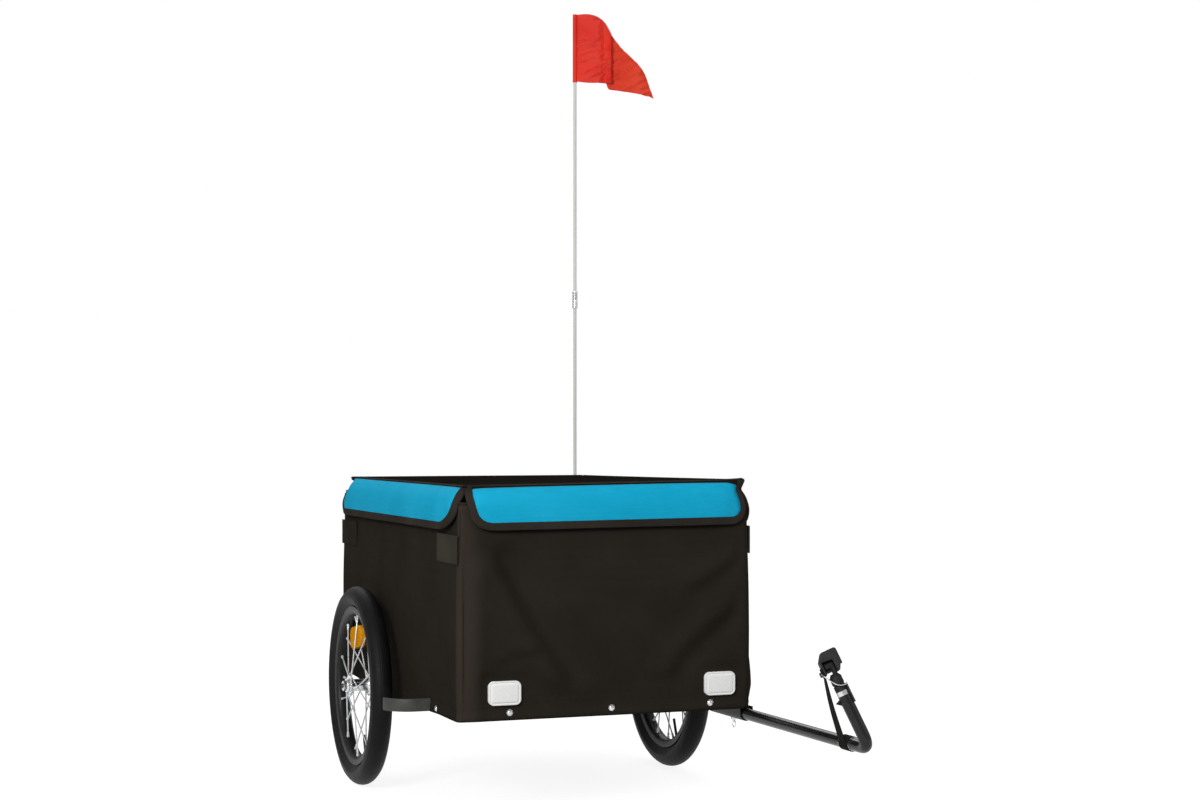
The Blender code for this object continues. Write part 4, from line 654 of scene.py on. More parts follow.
def top_points():
    """Rows of the top sheet, stretched between the four ridges with a slight crown."""
    front, rear, right, left = (ridge(side) for side in ("front", "rear", "right", "left"))
    across, length = len(front) - 1, len(right) - 1
    rows = []
    for j in range(length + 1):
        v = j / length
        row = []
        for i in range(across + 1):
            u = i / across
            place = front[i].lerp(rear[i], v) + right[j].lerp(left[j], u)
            place -= front[0].lerp(front[-1], u).lerp(rear[0].lerp(rear[-1], u), v)
            bow = max(0.0, 16 * u * (1 - u) * v * (1 - v))
            height = CROWN * bow ** 0.6
            height += noise.noise(Vector((u * 4.0, v * 4.5, 3.0))) * TOP_WAVE * min(1.0, 4 * bow)
            row.append(place + Z * height)
        rows.append(row)
    return rows


def make_cover_cloth():
    """The whole cover as one continuous sheet."""
    bm = bmesh.new()
    rows = top_points()
    add_grid(bm, rows)
    area = cloth_area(rows)
    for side in FLAP_SIDES:
        rows = []
        for down in falling(24, FLAP_LENGTH):
            start, end = flap_reach(side, down)
            rows.append([flap_point(side, along, down) for along in spread(start, end, flap_columns(side))])
        add_grid(bm, rows)
        area += cloth_area(rows)
    bmesh.ops.remove_doubles(bm, verts=bm.verts, dist=0.0002)
    cloth_piece = add_piece("cover_cloth", bm, COVER_CLOTH, "lid", "cover", CLOTH, 60.0)


def panel_top(side, along):
    """The panel's top edge, below the ridge by more at a dipped corner."""
    start, end = flap_reach(side, 0.0, border=True)
    first, last = FLAP_ENDS[side]
    dip = first.panel_dip * math.exp(-(along - start) / DIP_RUN)
    base = 0.0105 if side in ("front", "rear") else 0.0085
    return base + dip + last.panel_dip * math.exp(-(end - along) / DIP_RUN)


def make_panel(side):
    """Blue panel over the flap, its edges under the tape."""
    lowest = FLAP_LENGTH - TAPE_WIDTH + PANEL_TUCK
    columns = flap_columns(side)
    rows = []
    for share in falling(24, 1.0):
        down = lowest * share
        start, end = flap_reach(side, down, border=True)
        tips = [end.panel_tip for end in FLAP_ENDS[side]]
        rounds = [tip * (1 - math.sqrt(1 - max(0.0, 1 - share * lowest / tip) ** 2)) for tip in tips]
        start, end = start + rounds[0] - PANEL_TUCK, end - rounds[1] + PANEL_TUCK
        row = []
        for along in spread(start, end, columns):
            top = panel_top(side, along)
            fall = top + (lowest - top) * share
            row.append(off_flap(side, along, fall, PANEL_LIFT))
        rows.append(row)
    bm = drawn(add_grid, rows)
    panel = add_piece(f"panel_{side}", bm, BLUE_CLOTH, "lid", f"inset_{side}", 0.0008)


def tape_path(side, border):
    """Points (along, down) from the ridge at one end, round the lower edge, to the other end."""
    lowest = FLAP_LENGTH - (TAPE_WIDTH if border else 0.0)
    heights = falling(26, lowest, 0.0045)
    first = [(flap_reach(side, down, border)[0], down) for down in heights]
    last = [(flap_reach(side, down, border)[1], down) for down in reversed(heights)]
    level = [(along, lowest) for along in spread(first[-1][0], last[0][0], 60)[1:-1]]
    return first + level + last


def sew_tape(name, rows, thickness):
    add_piece(name, drawn(add_grid, rows), BINDING_TAPE, "lid", thick=thickness)


def make_tape(side):
    """Tape sewn over the flap's free edges, wrapped round to the back."""
    # Share of the way from the inner edge to the outer one, and height off the flap's middle
    section = [(0.0, 0.0022), (0.02, 0.0029), (0.5, 0.0031), (0.9, 0.0029), (0.985, 0.0020),
               (1.01, 0.0), (0.985, -0.0016), (0.9, -0.0019), (0.3, -0.0018)]
    rows = []
    for (a0, d0), (a1, d1) in zip(tape_path(side, True), tape_path(side, False)):
        rows.append([off_flap(side, a0 + (a1 - a0) * share, d0 + (d1 - d0) * share, height)
                     for share, height in section])
    sew_tape(f"tape_{side}", rows, 0.0005)


def make_ridge_tape(side):
    """Narrow tape over the seam between the top and a flap."""
    start, end = flap_reach(side, 0.0)
    inward = -FLAP_SIDES[side][2]
    # Place inward on the top sheet, then down the flap, and height off the cloth
    on_top = [(0.0035, 0.0012), (0.0030, 0.0018), (0.0, 0.0022)]
    on_flap = [(0.0015, 0.0017), (0.0045, 0.0018), (0.0050, 0.0011)]
    rows = []
    for along in spread(start + 0.006, end - 0.006, flap_columns(side)):
        edge = flap_point(side, along, 0.0)
        row = [edge + inward * place + Z * height for place, height in on_top]
        rows.append(row + [off_flap(side, along, down, height) for down, height in on_flap])
    sew_tape(f"ridge_tape_{side}", rows, 0.0004)


def make_cover():
    make_cover_cloth()
    for side in FLAP_SIDES:
        make_panel(side)
        make_tape(side)
        make_ridge_tape(side)


# Fabric box

TUB_CORNER = 0.010
TUB_CLOTH = 0.0018
FLOOR_CLOTH = 0.0012
BULGE = 0.0055
BULGE_RUN = 0.035        # distance from a corner over which a wall comes out
HEM_HEIGHT = 0.0150
HEM_STEP = 0.0012        # how far the doubled hem stands out
HEM_GROOVE = 0.0007      # depth of its sewn upper edge
WALL_WAVE = 0.0010
HEM_DROP = 0.0018        # how far the cloth hangs below the frame
HEM_SAG = 0.0120         # and how far more beside the axle
CLOTH_TOP = 0.0085       # from the rim's top down to the cloth's upper edge
# Bulge of the front corner on the left, as (height, outward)
CORNER_BULGE = [(0.19, 0.0015), (0.21, 0.0045), (0.235, 0.0085), (0.26, 0.0062), (0.29, 0.0025),
                (0.34, 0.0032), (0.40, 0.0020), (0.47, 0.0020), (0.53, 0.0)]
CORNER_TUCK = 0.0040     # how far the front wall is drawn in at the near corner
CORNER_PILLOW = 0.0040   # and how far it stands out just beside it
# Creases: wall, line of the crease as (along, height), half width and depth
FOLDS = [
    ("front", [(0.051, 0.509), (0.089, 0.445), (0.140, 0.352), (0.185, 0.287), (0.233, 0.221)],
     0.021, 0.0125),
    ("front", [(0.165, 0.320), (0.105, 0.309), (0.058, 0.286)], 0.012, 0.0020),
    ("front", [(0.560, 0.396), (0.472, 0.332), (0.431, 0.296), (0.401, 0.236)], 0.019, 0.0060),
    ("front", [(0.570, 0.484), (0.513, 0.453), (0.440, 0.411)], 0.016, 0.0040),
    ("right", [(0.130, 0.372), (0.230, 0.378), (0.340, 0.366)], 0.020, 0.0012),
    ("left", [(0.100, 0.440), (0.180, 0.360), (0.250, 0.270)], 0.022, 0.0030),
    ("left", [(0.780, 0.440), (0.700, 0.350), (0.640, 0.280)], 0.022, 0.0028),
    ("rear", [(0.100, 0.460), (0.160, 0.380), (0.230, 0.280)], 0.020, 0.0030),
    ("rear", [(0.470, 0.450), (0.420, 0.360), (0.360, 0.270)], 0.020, 0.0026),
]


def fold_depth(side, along, height):
    """The cloth stands out on one side of a crease and falls in on the other."""
    total = 0.0
    spot = Vector((along, height))
    for wall, line, width, depth in FOLDS:
        if wall != side:
            continue
        nearest = []
        for i, (a, b) in enumerate(zip(line, line[1:])):
            start, run = Vector(a), Vector(b) - Vector(a)
            t = min(1.0, max(0.0, (spot - start).dot(run) / run.length_squared))
            away = (spot - start - run * t).length
            nearest.append((away, run.cross(spot - start) / run.length, (i + t) / (len(line) - 1)))
        away, across, share = min(nearest)
        fade = smooth_step(share / 0.15) * smooth_step((1 - share) / 0.15)
        total -= depth * fade * across / width * math.exp(0.5 - 0.5 * (away / width) ** 2)
    return total


def between(points, value):
    """Straight lines through (value, result) points."""
    for (v0, r0), (v1, r1) in zip(points, points[1:]):
        if value <= v1:
            return r0 + (r1 - r0) * max(0.0, (value - v0) / (v1 - v0))
    return points[-1][1]


PRESS_RUN = 0.022        # distance over which the cloth is drawn in round a reflector
REFLECTOR_GAP = 0.0004   # and how far it then stands off the frame
QUARTERS = [(end, hand) for end in ("front", "rear") for hand in ("left", "right")]


def reflector_spots():
    """Wall, place along it, height and half size of every reflector on the box."""
    spots = []
    for end, hand in QUARTERS:
        low, high = corners(f"reflector_{end}_{hand}")
        middle, half = (low + high) / 2, (high - low) / 2
        spots.append((end, middle.x - MIDDLE_X + HALF_WIDTH, middle.z, half.x, half.z))
    return spots


REFLECTOR_SPOTS = reflector_spots()


def pressed(side, along, height):
    """How firmly a reflector holds the cloth against the frame, 0 to 1."""
    most = 0.0
    for wall, place, level, half_width, half_height in REFLECTOR_SPOTS:
        if wall == side:
            beside = max(0.0, abs(along - place) - half_width)
            above = max(0.0, abs(height - level) - half_height)
            most = max(most, 1 - smooth_step(math.hypot(beside, above) / PRESS_RUN))
    return most


def wall_bulge(side, along, height):
    """How far the cloth of a wall stands outside the frame's plane."""
    length = FLAP_SIDES[side][3]
    from_corner = min(along, length - along)
    inside = 1 - math.exp(-max(0.0, from_corner) / BULGE_RUN)
    up = (height - HEM_Z) / (WALL_TOP_Z - HEM_Z)
    rise = 0.35 + 0.65 * smooth_step(up / 0.22)
    fall = smooth_step((0.90 - up) / 0.42)
    wave = noise.noise(Vector((along * 5.0, height * 4.0, 2.0 * len(side)))) * WALL_WAVE
    shape = BULGE * (0.45 + 0.55 * inside) * rise * fall
    if side == "left":
        shape += between(CORNER_BULGE, height) * math.exp(-(along / 0.06) ** 2)
    if side == "front":
        shape += between(CORNER_BULGE, height) * 0.6 * math.exp(-((length - along) / 0.018) ** 2)
        shape -= CORNER_TUCK * (1 - smooth_step(along / 0.05)) * fall * rise
        shape += CORNER_PILLOW * math.exp(-((along - 0.033) / 0.018) ** 2) * fall * rise
    clear = smooth_step((height - HEM_Z - 0.03) / 0.05) * smooth_step((from_corner - 0.015) / 0.03)
    high = smooth_step((0.95 - up) / 0.12)
    shape += (wave * fall + fold_depth(side, along, height) * high) * clear
    return shape - pressed(side, along, height) * max(0.0, shape - REFLECTOR_GAP)


def hem_sag(side, along, height):
    """The lower edge of the side walls sags towards the axle."""
    if side in ("front", "rear"):
        return 0.0
    near_hem = 1 - smooth_step((height - HEM_Z) / 0.05)
    return HEM_SAG * near_hem * smooth_step((along - 0.10) / 0.30) * smooth_step((0.78 - along) / 0.20)


def tub_ring(height, inward=0.0):
    """Points round the box at a height, over its rounded corners."""
    points = []
    order = (("front", False), ("left", False), ("rear", True), ("right", True))
    for side, backwards in order:
        corner, way, outward, length = FLAP_SIDES[side]
        count = 52 if length < 0.7 else 76
        span = length - 2 * TUB_CORNER
        places = [TUB_CORNER + span * (0.5 - 0.5 * math.cos(math.pi * k / count)) for k in range(count + 1)]
        if backwards:
            places.reverse()
        for along in places:
            out = wall_bulge(side, along, height) - inward
            place = corner + way * along + outward * out
            points.append(at_box(place.x, place.y, height - hem_sag(side, along, height)))
        end = places[-1]
        bulge = wall_bulge(side, end, height) - inward
        centre = corner + way * end - outward * TUB_CORNER
        turn = way if not backwards else -way
        for k in (1, 2, 3, 4):
            angle = math.pi / 2 * k / 5
            ray = outward * math.cos(angle) + turn * math.sin(angle)
            place = centre + ray * (TUB_CORNER + bulge)
            points.append(at_box(place.x, place.y, height))
    return points


def make_tub_walls():
    heights = [HEM_Z - HEM_DROP, HEM_Z + 0.004]
    heights += spread(HEM_Z + 0.009, WALL_TOP_Z - CLOTH_TOP, 60)
    rows = []
    for height in heights:
        hem = smooth_step((HEM_Z + HEM_HEIGHT + 0.0015 - height) / 0.003) * HEM_STEP
        groove = math.exp(-((height - HEM_Z - HEM_HEIGHT) / 0.0018) ** 2) * HEM_GROOVE
        rows.append(tub_ring(height, inward=groove - hem))
    bm = drawn(add_grid, rows, True)
    walls = add_piece("tub_walls", bm, WALL_CLOTH, "trailer", "tub")
    thicken(walls, TUB_CLOTH, -1.0)
    cut_slots(walls)
    height = WALL_TOP_Z - CLOTH_TOP - HEM_Z + HEM_DROP


SLOT_CLEAR = 0.0008
SLOT_REACH = 0.012       # how far a slot's cutter reaches to each side of the wall


def cut_slots(walls):
    """Openings in the hem for the axle plates and the guards' bars."""
    bm = bmesh.new()
    for kind in ("carrier", "guard"):
        for hand, side in SIDES.items():
            low, high = corners(f"{kind}_{hand}")
            if kind == "guard":
                low.y, high.y = low.y - SLOT_CLEAR, low.y + GUARD_BAR + SLOT_CLEAR
            wall_x = MIDDLE_X + side * HALF_WIDTH
            low = Vector((wall_x - SLOT_REACH, low.y - SLOT_CLEAR, HEM_Z - 2 * HEM_SAG))
            high = Vector((wall_x + SLOT_REACH, high.y + SLOT_CLEAR, high.z + SLOT_CLEAR))
            made = bmesh.ops.create_cube(bm, size=1.0)["verts"]
            bmesh.ops.scale(bm, verts=made, vec=high - low)
            bmesh.ops.translate(bm, verts=made, vec=(low + high) / 2)
    cutter = add_mesh("slot_cutter", bm)
    modifier = walls.modifiers.new("slots", "BOOLEAN")
    modifier.operation = "DIFFERENCE"
    modifier.solver = "EXACT"
    modifier.object = cutter
    apply_modifiers(walls)
    bpy.data.objects.remove(cutter)


def apply_modifiers(piece):
    graph = bpy.context.evaluated_depsgraph_get()
    graph.update()
    made = bpy.data.meshes.new_from_object(piece.evaluated_get(graph))
    piece.modifiers.clear()
    piece.data = made


def make_tub_floor():
    """Cloth over the floor board, notched round the posts."""
    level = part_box("floor_panel")[1][2] + FLOOR_CLOTH
    notch, inset = 0.0215, 0.0030
    x, y0, y1 = HALF_WIDTH - inset, inset, LENGTH - inset
    outline = [(-x, y0 + notch), (-x + notch, y0 + notch), (-x + notch, y0), (x - notch, y0),
               (x - notch, y0 + notch), (x, y0 + notch), (x, y1 - notch), (x - notch, y1 - notch),
               (x - notch, y1), (-x + notch, y1), (-x + notch, y1 - notch), (-x, y1 - notch)]
    bm = bmesh.new()
    bm.faces.new([bm.verts.new(at_box(px, py, level)) for px, py in outline])
    floor = add_piece("tub_floor", bm, BLACK_CLOTH, "trailer", thick=FLOOR_CLOTH)


SEAM_RADIUS = 0.0011
SEAM_BULGE = 0.72        # share of the front or rear wall's bulge that a corner follows


def make_corner_seams():
    """Piped seam up each corner of the box."""
    bm = bmesh.new()
    reach = TUB_CORNER * (1 - math.sqrt(0.5))
    for side in (-1, 1):
        along = TUB_CORNER if side < 0 else 2 * HALF_WIDTH - TUB_CORNER
        for wall in ("front", "rear"):
            points = []
            for height in spread(HEM_Z + HEM_HEIGHT, WALL_TOP_Z - 0.020, 39):
                bulge = wall_bulge(wall, along, height) * SEAM_BULGE
                y = reach - bulge if wall == "front" else LENGTH - reach + bulge
                points.append(at_box(side * (HALF_WIDTH - reach + bulge), y, height))
            add_tube(bm, points, SEAM_RADIUS, 6, X)
    add_piece("corner_seams", bm, BINDING_TAPE, "trailer")


TAB_OUT = 0.0030
TAB_ARCH = 0.0012
TAB_RUN = 0.014
TAB_RAISE = {"tab_front_left": 0.0095, "tab_rear_right": -0.0040}


def make_tab(end, hand):
    """Hook and loop tab, sewn near the top of a side wall."""
    name = f"tab_{end}_{hand}"
    low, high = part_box(name)
    first = low[1] if end == "rear" else FRONT_Y + 0.001
    last = high[1] if end == "front" else FRONT_Y + LENGTH - 0.001
    rows = []
    for j, level in enumerate(spread(low[2], high[2], 12)):
        arch = TAB_ARCH * math.sin(math.pi * (0.15 + 0.7 * j / 12))
        row = []
        for y in spread(first, last, 24):
            out = HALF_WIDTH + TAB_OUT + arch * smooth_step(min(y - first, last - y) / TAB_RUN)
            row.append(Vector((MIDDLE_X + SIDES[hand] * out, y, level + TAB_RAISE.get(name, 0.0))))
        rows.append(row)
    finish = TAB_TAPE if end == "front" else BLACK_CLOTH
    tab = add_piece(f"{name}_tape", drawn(add_grid, rows), finish, "trailer", name, 0.0020)
    soften(tab, 0.0005)


# Small hardware on the box

RIVET_RADIUS = 0.0052
RIVET_OUT = 0.0013       # off the wall, just past the hem's step
# Height of the rivets on a wall, and their places along it
END_RIVETS = (0.205, [HALF_WIDTH - 0.190, HALF_WIDTH + 0.007, HALF_WIDTH + 0.205])
SIDE_RIVETS = (0.200, [0.135, 0.848])


def make_rivets():
    """Domed rivets on thin washers along the hem."""
    profile = [(0.0, 0.0), (RIVET_RADIUS * 1.15, 0.0), (RIVET_RADIUS * 1.15, 0.0006), (RIVET_RADIUS, 0.0008),
               (RIVET_RADIUS * 0.92, 0.0018), (RIVET_RADIUS * 0.62, 0.0029), (0.0, 0.0033)]
    bm = bmesh.new()
    for side, (corner, way, outward, _) in FLAP_SIDES.items():
        height, places = END_RIVETS if side in ("front", "rear") else SIDE_RIVETS
        for along in places:
            place = corner + way * along + outward * (wall_bulge(side, along, height) + RIVET_OUT)
            add_lathe(bm, profile, axis_matrix(at_box(place.x, place.y, height), outward), 20, closed=False)
    add_piece("rivets", bm, STEEL, "trailer")


def rounded_outline(half_w, half_h, radius, bow, steps=6):
    """Rectangle with round corners and slightly bowed sides, as (x, y) points."""
    points = []
    for cx, cy, start in ((1, 1, 0.0), (-1, 1, 0.5), (-1, -1, 1.0), (1, -1, 1.5)):
        for k in range(steps + 1):
            a = math.pi * (start + 0.5 * k / steps)
            x = cx * (half_w - radius) + radius * math.cos(a)
            y = cy * (half_h - radius) + radius * math.sin(a)
            points.append((x + math.copysign(bow * (1 - (y / half_h) ** 2), x),
                           y + math.copysign(bow * (1 - (x / half_w) ** 2), y)))
    return points


REFLECTOR_ROUND = 0.0085
REFLECTOR_BOW = 0.0015
REFLECTOR_BACK = 0.006   # from its front face to where its moulding starts


def make_box_reflector(end, hand):
    """Moulded reflector: a rim, a groove and a raised lens."""
    name = f"reflector_{end}_{hand}"
    low, high = corners(name)
    outward = -Y if end == "front" else Y
    middle, half = (low + high) / 2, (high - low) / 2
    middle.y = low.y if end == "front" else high.y
    matrix = axis_matrix(middle - outward * REFLECTOR_BACK, outward, X)
    # Inset from the edge and height above the wall
    levels = [(0.0, 0.0), (0.0, 0.0062), (0.0006, 0.0070), (0.0022, 0.0072), (0.0030, 0.0064),
              (0.0040, 0.0064), (0.0048, 0.0074), (0.0070, 0.0077)]
    rows = []
    for inset, height in levels:
        outline = rounded_outline(half.x - inset - REFLECTOR_BOW, half.z - inset - REFLECTOR_BOW,
                                  max(0.003, REFLECTOR_ROUND - inset), REFLECTOR_BOW)
        rows.append([matrix @ Vector((x, y, height)) for x, y in outline])
    finish, slot = (WHITE_LENS, "white_lens") if end == "front" else (RED_LENS, "red_lens")
    add_piece(f"{name}_lens", drawn(add_loft, rows), finish, "trailer", name, smooth=50.0)


# Wheels

TREAD_GROOVES = (-30.0, -10.0, 10.0, 30.0)
BEAD = 0.0100
TYRE_WALL = 0.0035
SPOKES_PER_FLANGE = 10
SPOKE_RADIUS = 0.0015
NIPPLE_RADIUS = 0.0024
NIPPLE_LENGTH = 0.012
FLANGE_RADIUS = 0.0230
FLANGE_PLACE = 0.020
FLANGE = 0.0030
HUB_HALF = 0.028
RIM_DEPTH = 0.0165
RIM_EDGE = 0.1600
RIM_HALF = 0.0135
RIM_WALL = 0.0022
TREAD_GROOVE = 0.0003
SIDE_RIB = 0.0005
SIDE_RIB_AT = 62.0       # degrees from the tread's middle


def tyre_section():
    """Round tyre with fine grooves round its tread, and its beads in the rim."""
    low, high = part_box("tyre_left")
    half = (high[0] - low[0]) / 2
    crown = (high[2] - low[2]) / 2 - half
    seat = RIM_EDGE - 0.0035

    def on_tyre(radius, degrees):
        angle = math.radians(degrees)
        return crown + radius * math.cos(angle), radius * math.sin(angle)

    points = []
    for degrees in range(0, 101, 2):
        groove = sum(math.exp(-((degrees - g) / 2.0) ** 2) for g in TREAD_GROOVES) * TREAD_GROOVE
        rib = math.exp(-((degrees - SIDE_RIB_AT) / 3.0) ** 2) * SIDE_RIB
        points.append(on_tyre(half - groove + rib - 0.0002, degrees))
    points += [(RIM_EDGE + 0.0006, BEAD + 0.0009), (seat, BEAD), (seat, BEAD - 0.003)]
    points += [on_tyre(half - TYRE_WALL, degrees) for degrees in (80, 40, 0)]
    return mirrored(points)


def rim_section():
    edge, half = RIM_EDGE, RIM_HALF
    seat, inner = edge - 0.0050, edge - RIM_DEPTH
    return mirrored([
        (inner + 0.0035, half * 0.45), (seat, half - RIM_WALL - 0.0005), (edge, half - RIM_WALL),
        (edge, half - 0.0008), (edge - 0.0004, half), (inner + 0.0060, half - 0.0006),
        (inner + 0.0030, half - 0.0022), (inner + 0.0006, half * 0.55), (inner, half * 0.35)])


def hub_section():
    """Hub shell with its two flanges."""
    f0, f1 = FLANGE_PLACE - FLANGE / 2, FLANGE_PLACE + FLANGE / 2
    return mirrored([
        (0.0125, 0.0), (0.0128, f0 - 0.004), (0.0150, f0), (FLANGE_RADIUS - 0.0006, f0),
        (FLANGE_RADIUS, f0 + 0.0006), (FLANGE_RADIUS, f1 - 0.0006), (FLANGE_RADIUS - 0.0006, f1),
        (0.0142, f1), (0.0135, f1 + 0.0006), (0.0135, HUB_HALF - 0.0006), (0.0130, HUB_HALF),
        (0.0104, HUB_HALF)])


def add_spoke(bm, matrix, index, flange):
    """Spoke laced over two others, with its bent head through the flange and its nipple at the rim."""
    step = math.pi / SPOKES_PER_FLANGE
    hole = 2 * step * index + (step if flange > 0 else 0.0)
    lead = 1 if index % 2 == 0 else -1
    lean = lead * (FLANGE / 2 + SPOKE_RADIUS * 0.6)
    start = round_point(FLANGE_RADIUS - 0.003, hole, flange * FLANGE_PLACE + lean)
    end = round_point(RIM_EDGE - RIM_DEPTH - 0.0005, hole + lead * 4 * step, flange * 0.003)
    way = (end - start).normalized()
    neck = end - way * NIPPLE_LENGTH
    head = start - Z * lead * (FLANGE + SPOKE_RADIUS)
    bend = start + way * 0.0015
    add_tube(bm, [matrix @ p for p in (head, start, bend, neck)], SPOKE_RADIUS, 8, (0.3, 0.9, 0.2))
    nipple = [(0.0, 0.0), (NIPPLE_RADIUS * 0.8, 0.0), (NIPPLE_RADIUS, 0.001), (NIPPLE_RADIUS, 0.008),
              (NIPPLE_RADIUS * 1.3, 0.0095), (NIPPLE_RADIUS * 1.3, NIPPLE_LENGTH), (0.0, NIPPLE_LENGTH)]
    add_lathe(bm, nipple, matrix @ axis_matrix(neck, way), 10, closed=False)


def make_wheel(hand):
    """Tyre, rim, hub shell and spokes, in a frame with Z outward along the axle and Y up."""
    low, high = corners(f"tyre_{hand}")
    matrix = axis_matrix((low + high) / 2, X * SIDES[hand], Y * SIDES[hand])
    body = f"{hand}_wheel"
    # Name, profile, segments round, finish, slot and node
    turned = [(f"tyre_{hand}_tread", tyre_section(), 144, TYRE, "tyre_rubber", f"tyre_{hand}"),
              (f"rim_{hand}_hoop", rim_section(), 120, RIM_BLACK, "black_frame", f"rim_{hand}"),
              (f"hub_{hand}_shell", hub_section(), 48, ALLOY, "alloy_hub", f"spoked_hub_{hand}")]
    for name, profile, segments, finish, slot, node in turned:
        add_piece(name, drawn(add_lathe, profile, matrix, segments), finish, body, node)
    bm = bmesh.new()
    for flange in (-1, 1):
        for index in range(SPOKES_PER_FLANGE):
            add_spoke(bm, matrix, index, flange)
    add_piece(f"spokes_{hand}", bm, SPOKE_WIRE, body)
    soften(NODES[f"spoke_reflector_{hand}"], 0.0008)


# Tow arm, coupling and safety strap

TIP = Vector(JOINTS["coupling_swivel"]["axis"]).normalized()
ACROSS = Vector(JOINTS["coupling_pivot"]["axis"]).normalized()
BACK = TIP.cross(ACROSS)
TUBE_END = Vector(JOINTS["coupling_swivel"]["pos_m"])
PIN_AT = Vector(JOINTS["coupling_pivot"]["pos_m"])
BAND_LOW, BAND_HIGH = corners("strap_band")
BAND_AT = (BAND_LOW + BAND_HIGH) / 2
LOCK_LOW, LOCK_HIGH = corners("lock_pin")
LOCK_AT = Vector(((LOCK_LOW.x + LOCK_HIGH.x) / 2, (LOCK_LOW.y + LOCK_HIGH.y) / 2, BAND_AT.z))
ARM_WAY = (BAND_AT - LOCK_AT).normalized()
HEAD_INNER = 0.0159
STRAP = 0.0016
STRAP_WIDTH = 0.023
WRAP_INNER = 0.0122
WRAP_LENGTH = 0.030
ARM_RADIUS = 0.011
ARM_BEND = 0.030
ARM_BEHIND_PIN = 0.099
LUG_FOOT = 0.0148        # from the tube's end down to the lug's foot
LUG_LENGTH = 0.012
LUG_POINT_UP = 0.0077
LUG_POINT_OUT = 0.0096
LUG_HALF = 0.0015


def strap_points():
    """The strap's middle line from above the hitch pin down to the arm, and its half widths."""
    side = -(HEAD_INNER + 0.0003 + STRAP / 2)
    edge = PIN_AT + ACROSS * side
    top = edge - TIP * 0.0075
    foot_out = WRAP_INNER + STRAP / 2
    low = BAND_AT + Vector((-foot_out, 0.0, 0.004))
    points = [edge + TIP * 0.010, edge + TIP * 0.004, edge, top]
    for t in spread(0.0, 1.0, 24)[1:]:
        points.append(top.lerp(low, t) + Vector((-0.001, 0.004, 0.003)) * math.sin(math.pi * t))
    points.append(BAND_AT + Vector((-foot_out, 0.0, -0.002)))
    # It keeps the head's direction over its first four points and then turns towards the arm's
    halves = []
    for i in range(len(points)):
        turn = max(0.0, (i - 3) / (len(points) - 4)) ** 0.8
        halves.append(BACK.lerp(-ARM_WAY, turn).normalized() * STRAP_WIDTH / 2)
    return points, halves


def make_strap():
    """Webbing strap with ribbed edges, wrapped round the arm at its foot."""
    points, halves = strap_points()
    section = [(-1.0, 0.0), (-0.97, 0.5), (-0.85, 0.38), (-0.4, 0.5), (0.0, 0.44), (0.4, 0.5), (0.85, 0.38),
               (0.97, 0.5), (1.0, 0.0), (0.97, -0.5), (0.85, -0.38), (0.0, -0.46), (-0.85, -0.38),
               (-0.97, -0.5)]
    rows = []
    for i, (point, half) in enumerate(zip(points, halves)):
        lift = half.cross(way_at(points, i)).normalized() * STRAP
        rows.append([point + half * a + lift * b for a, b in section])
    bm = drawn(add_loft, rows)
    half = WRAP_LENGTH / 2
    outer = WRAP_INNER + STRAP * 0.75
    wrap = mirrored([(outer, 0.0), (outer - 0.0002, half * 0.6), (outer, half - 0.0008),
                     (outer - 0.0005, half + 0.0002), (WRAP_INNER, half)])
    add_lathe(bm, wrap, axis_matrix(BAND_AT, ARM_WAY), 40)
    strap = add_piece("strap_webbing", bm, WEBBING, None, "safety_strap")
    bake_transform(strap)


GUARD_HEIGHT = 0.024
GUARD_BAR = 0.005
GUARD_STRAIGHT = 0.030
GUARD_BEND = 0.052
GUARD_TURN = math.radians(80)


def make_guard(hand):
    """Flat bar that curves back beside the tyre, with rounded edges."""
    low, high = corners(f"guard_{hand}")
    side = SIDES[hand]
    foot = Vector((low.x if side > 0 else high.x, low.y + GUARD_BAR / 2, (low.z + high.z) / 2))
    knee = foot + X * side * GUARD_STRAIGHT
    points = [foot, knee]
    for turn in spread(0.0, GUARD_TURN, 24)[1:]:
        points.append(knee + Vector((side * math.sin(turn), 1 - math.cos(turn), 0)) * GUARD_BEND)
    section = rounded_outline(GUARD_BAR / 2, GUARD_HEIGHT / 2, 0.0018, 0.0, 3)
    rows = []
    for i, point in enumerate(points):
        across = way_at(points, i).cross(Z)
        rows.append([point + across * a + Z * b for a, b in section])
    bm = drawn(add_loft, rows)
    add_piece(f"guard_{hand}_bar", bm, GUARD_PAINT, "trailer", f"guard_{hand}")


def make_bracket():
    """Channel that hugs the rear of the arm, open at the top towards the frame."""
    low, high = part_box("arm_bracket")
    length = (high[1] - low[1]) / abs(ARM_WAY.y)
    start = LOCK_AT - ARM_WAY * ((high[1] - LOCK_AT.y) / abs(ARM_WAY.y) - 0.001)
    matrix = axis_matrix(start, ARM_WAY, Z)
    inner, outer = ARM_RADIUS + 0.0003, ARM_RADIUS + 0.0026
    top = high[2] - LOCK_AT.z - 0.0003
    turns = [math.pi * i / 16 for i in range(17)]
    outline = [(top, outer)] + [(-outer * math.sin(a), outer * math.cos(a)) for a in turns]
    outline += [(top, -outer), (top, -inner)]
    outline += [(-inner * math.sin(a), -inner * math.cos(a)) for a in turns] + [(top, inner)]
    rows = [[matrix @ Vector((x, y, z)) for x, y in outline] for z in (0.0, length - 0.004)]
    bm = drawn(add_loft, rows)
    bracket = add_piece("bracket_channel", bm, RIM_BLACK, "trailer", "arm_bracket")
    soften(bracket, 0.0008)


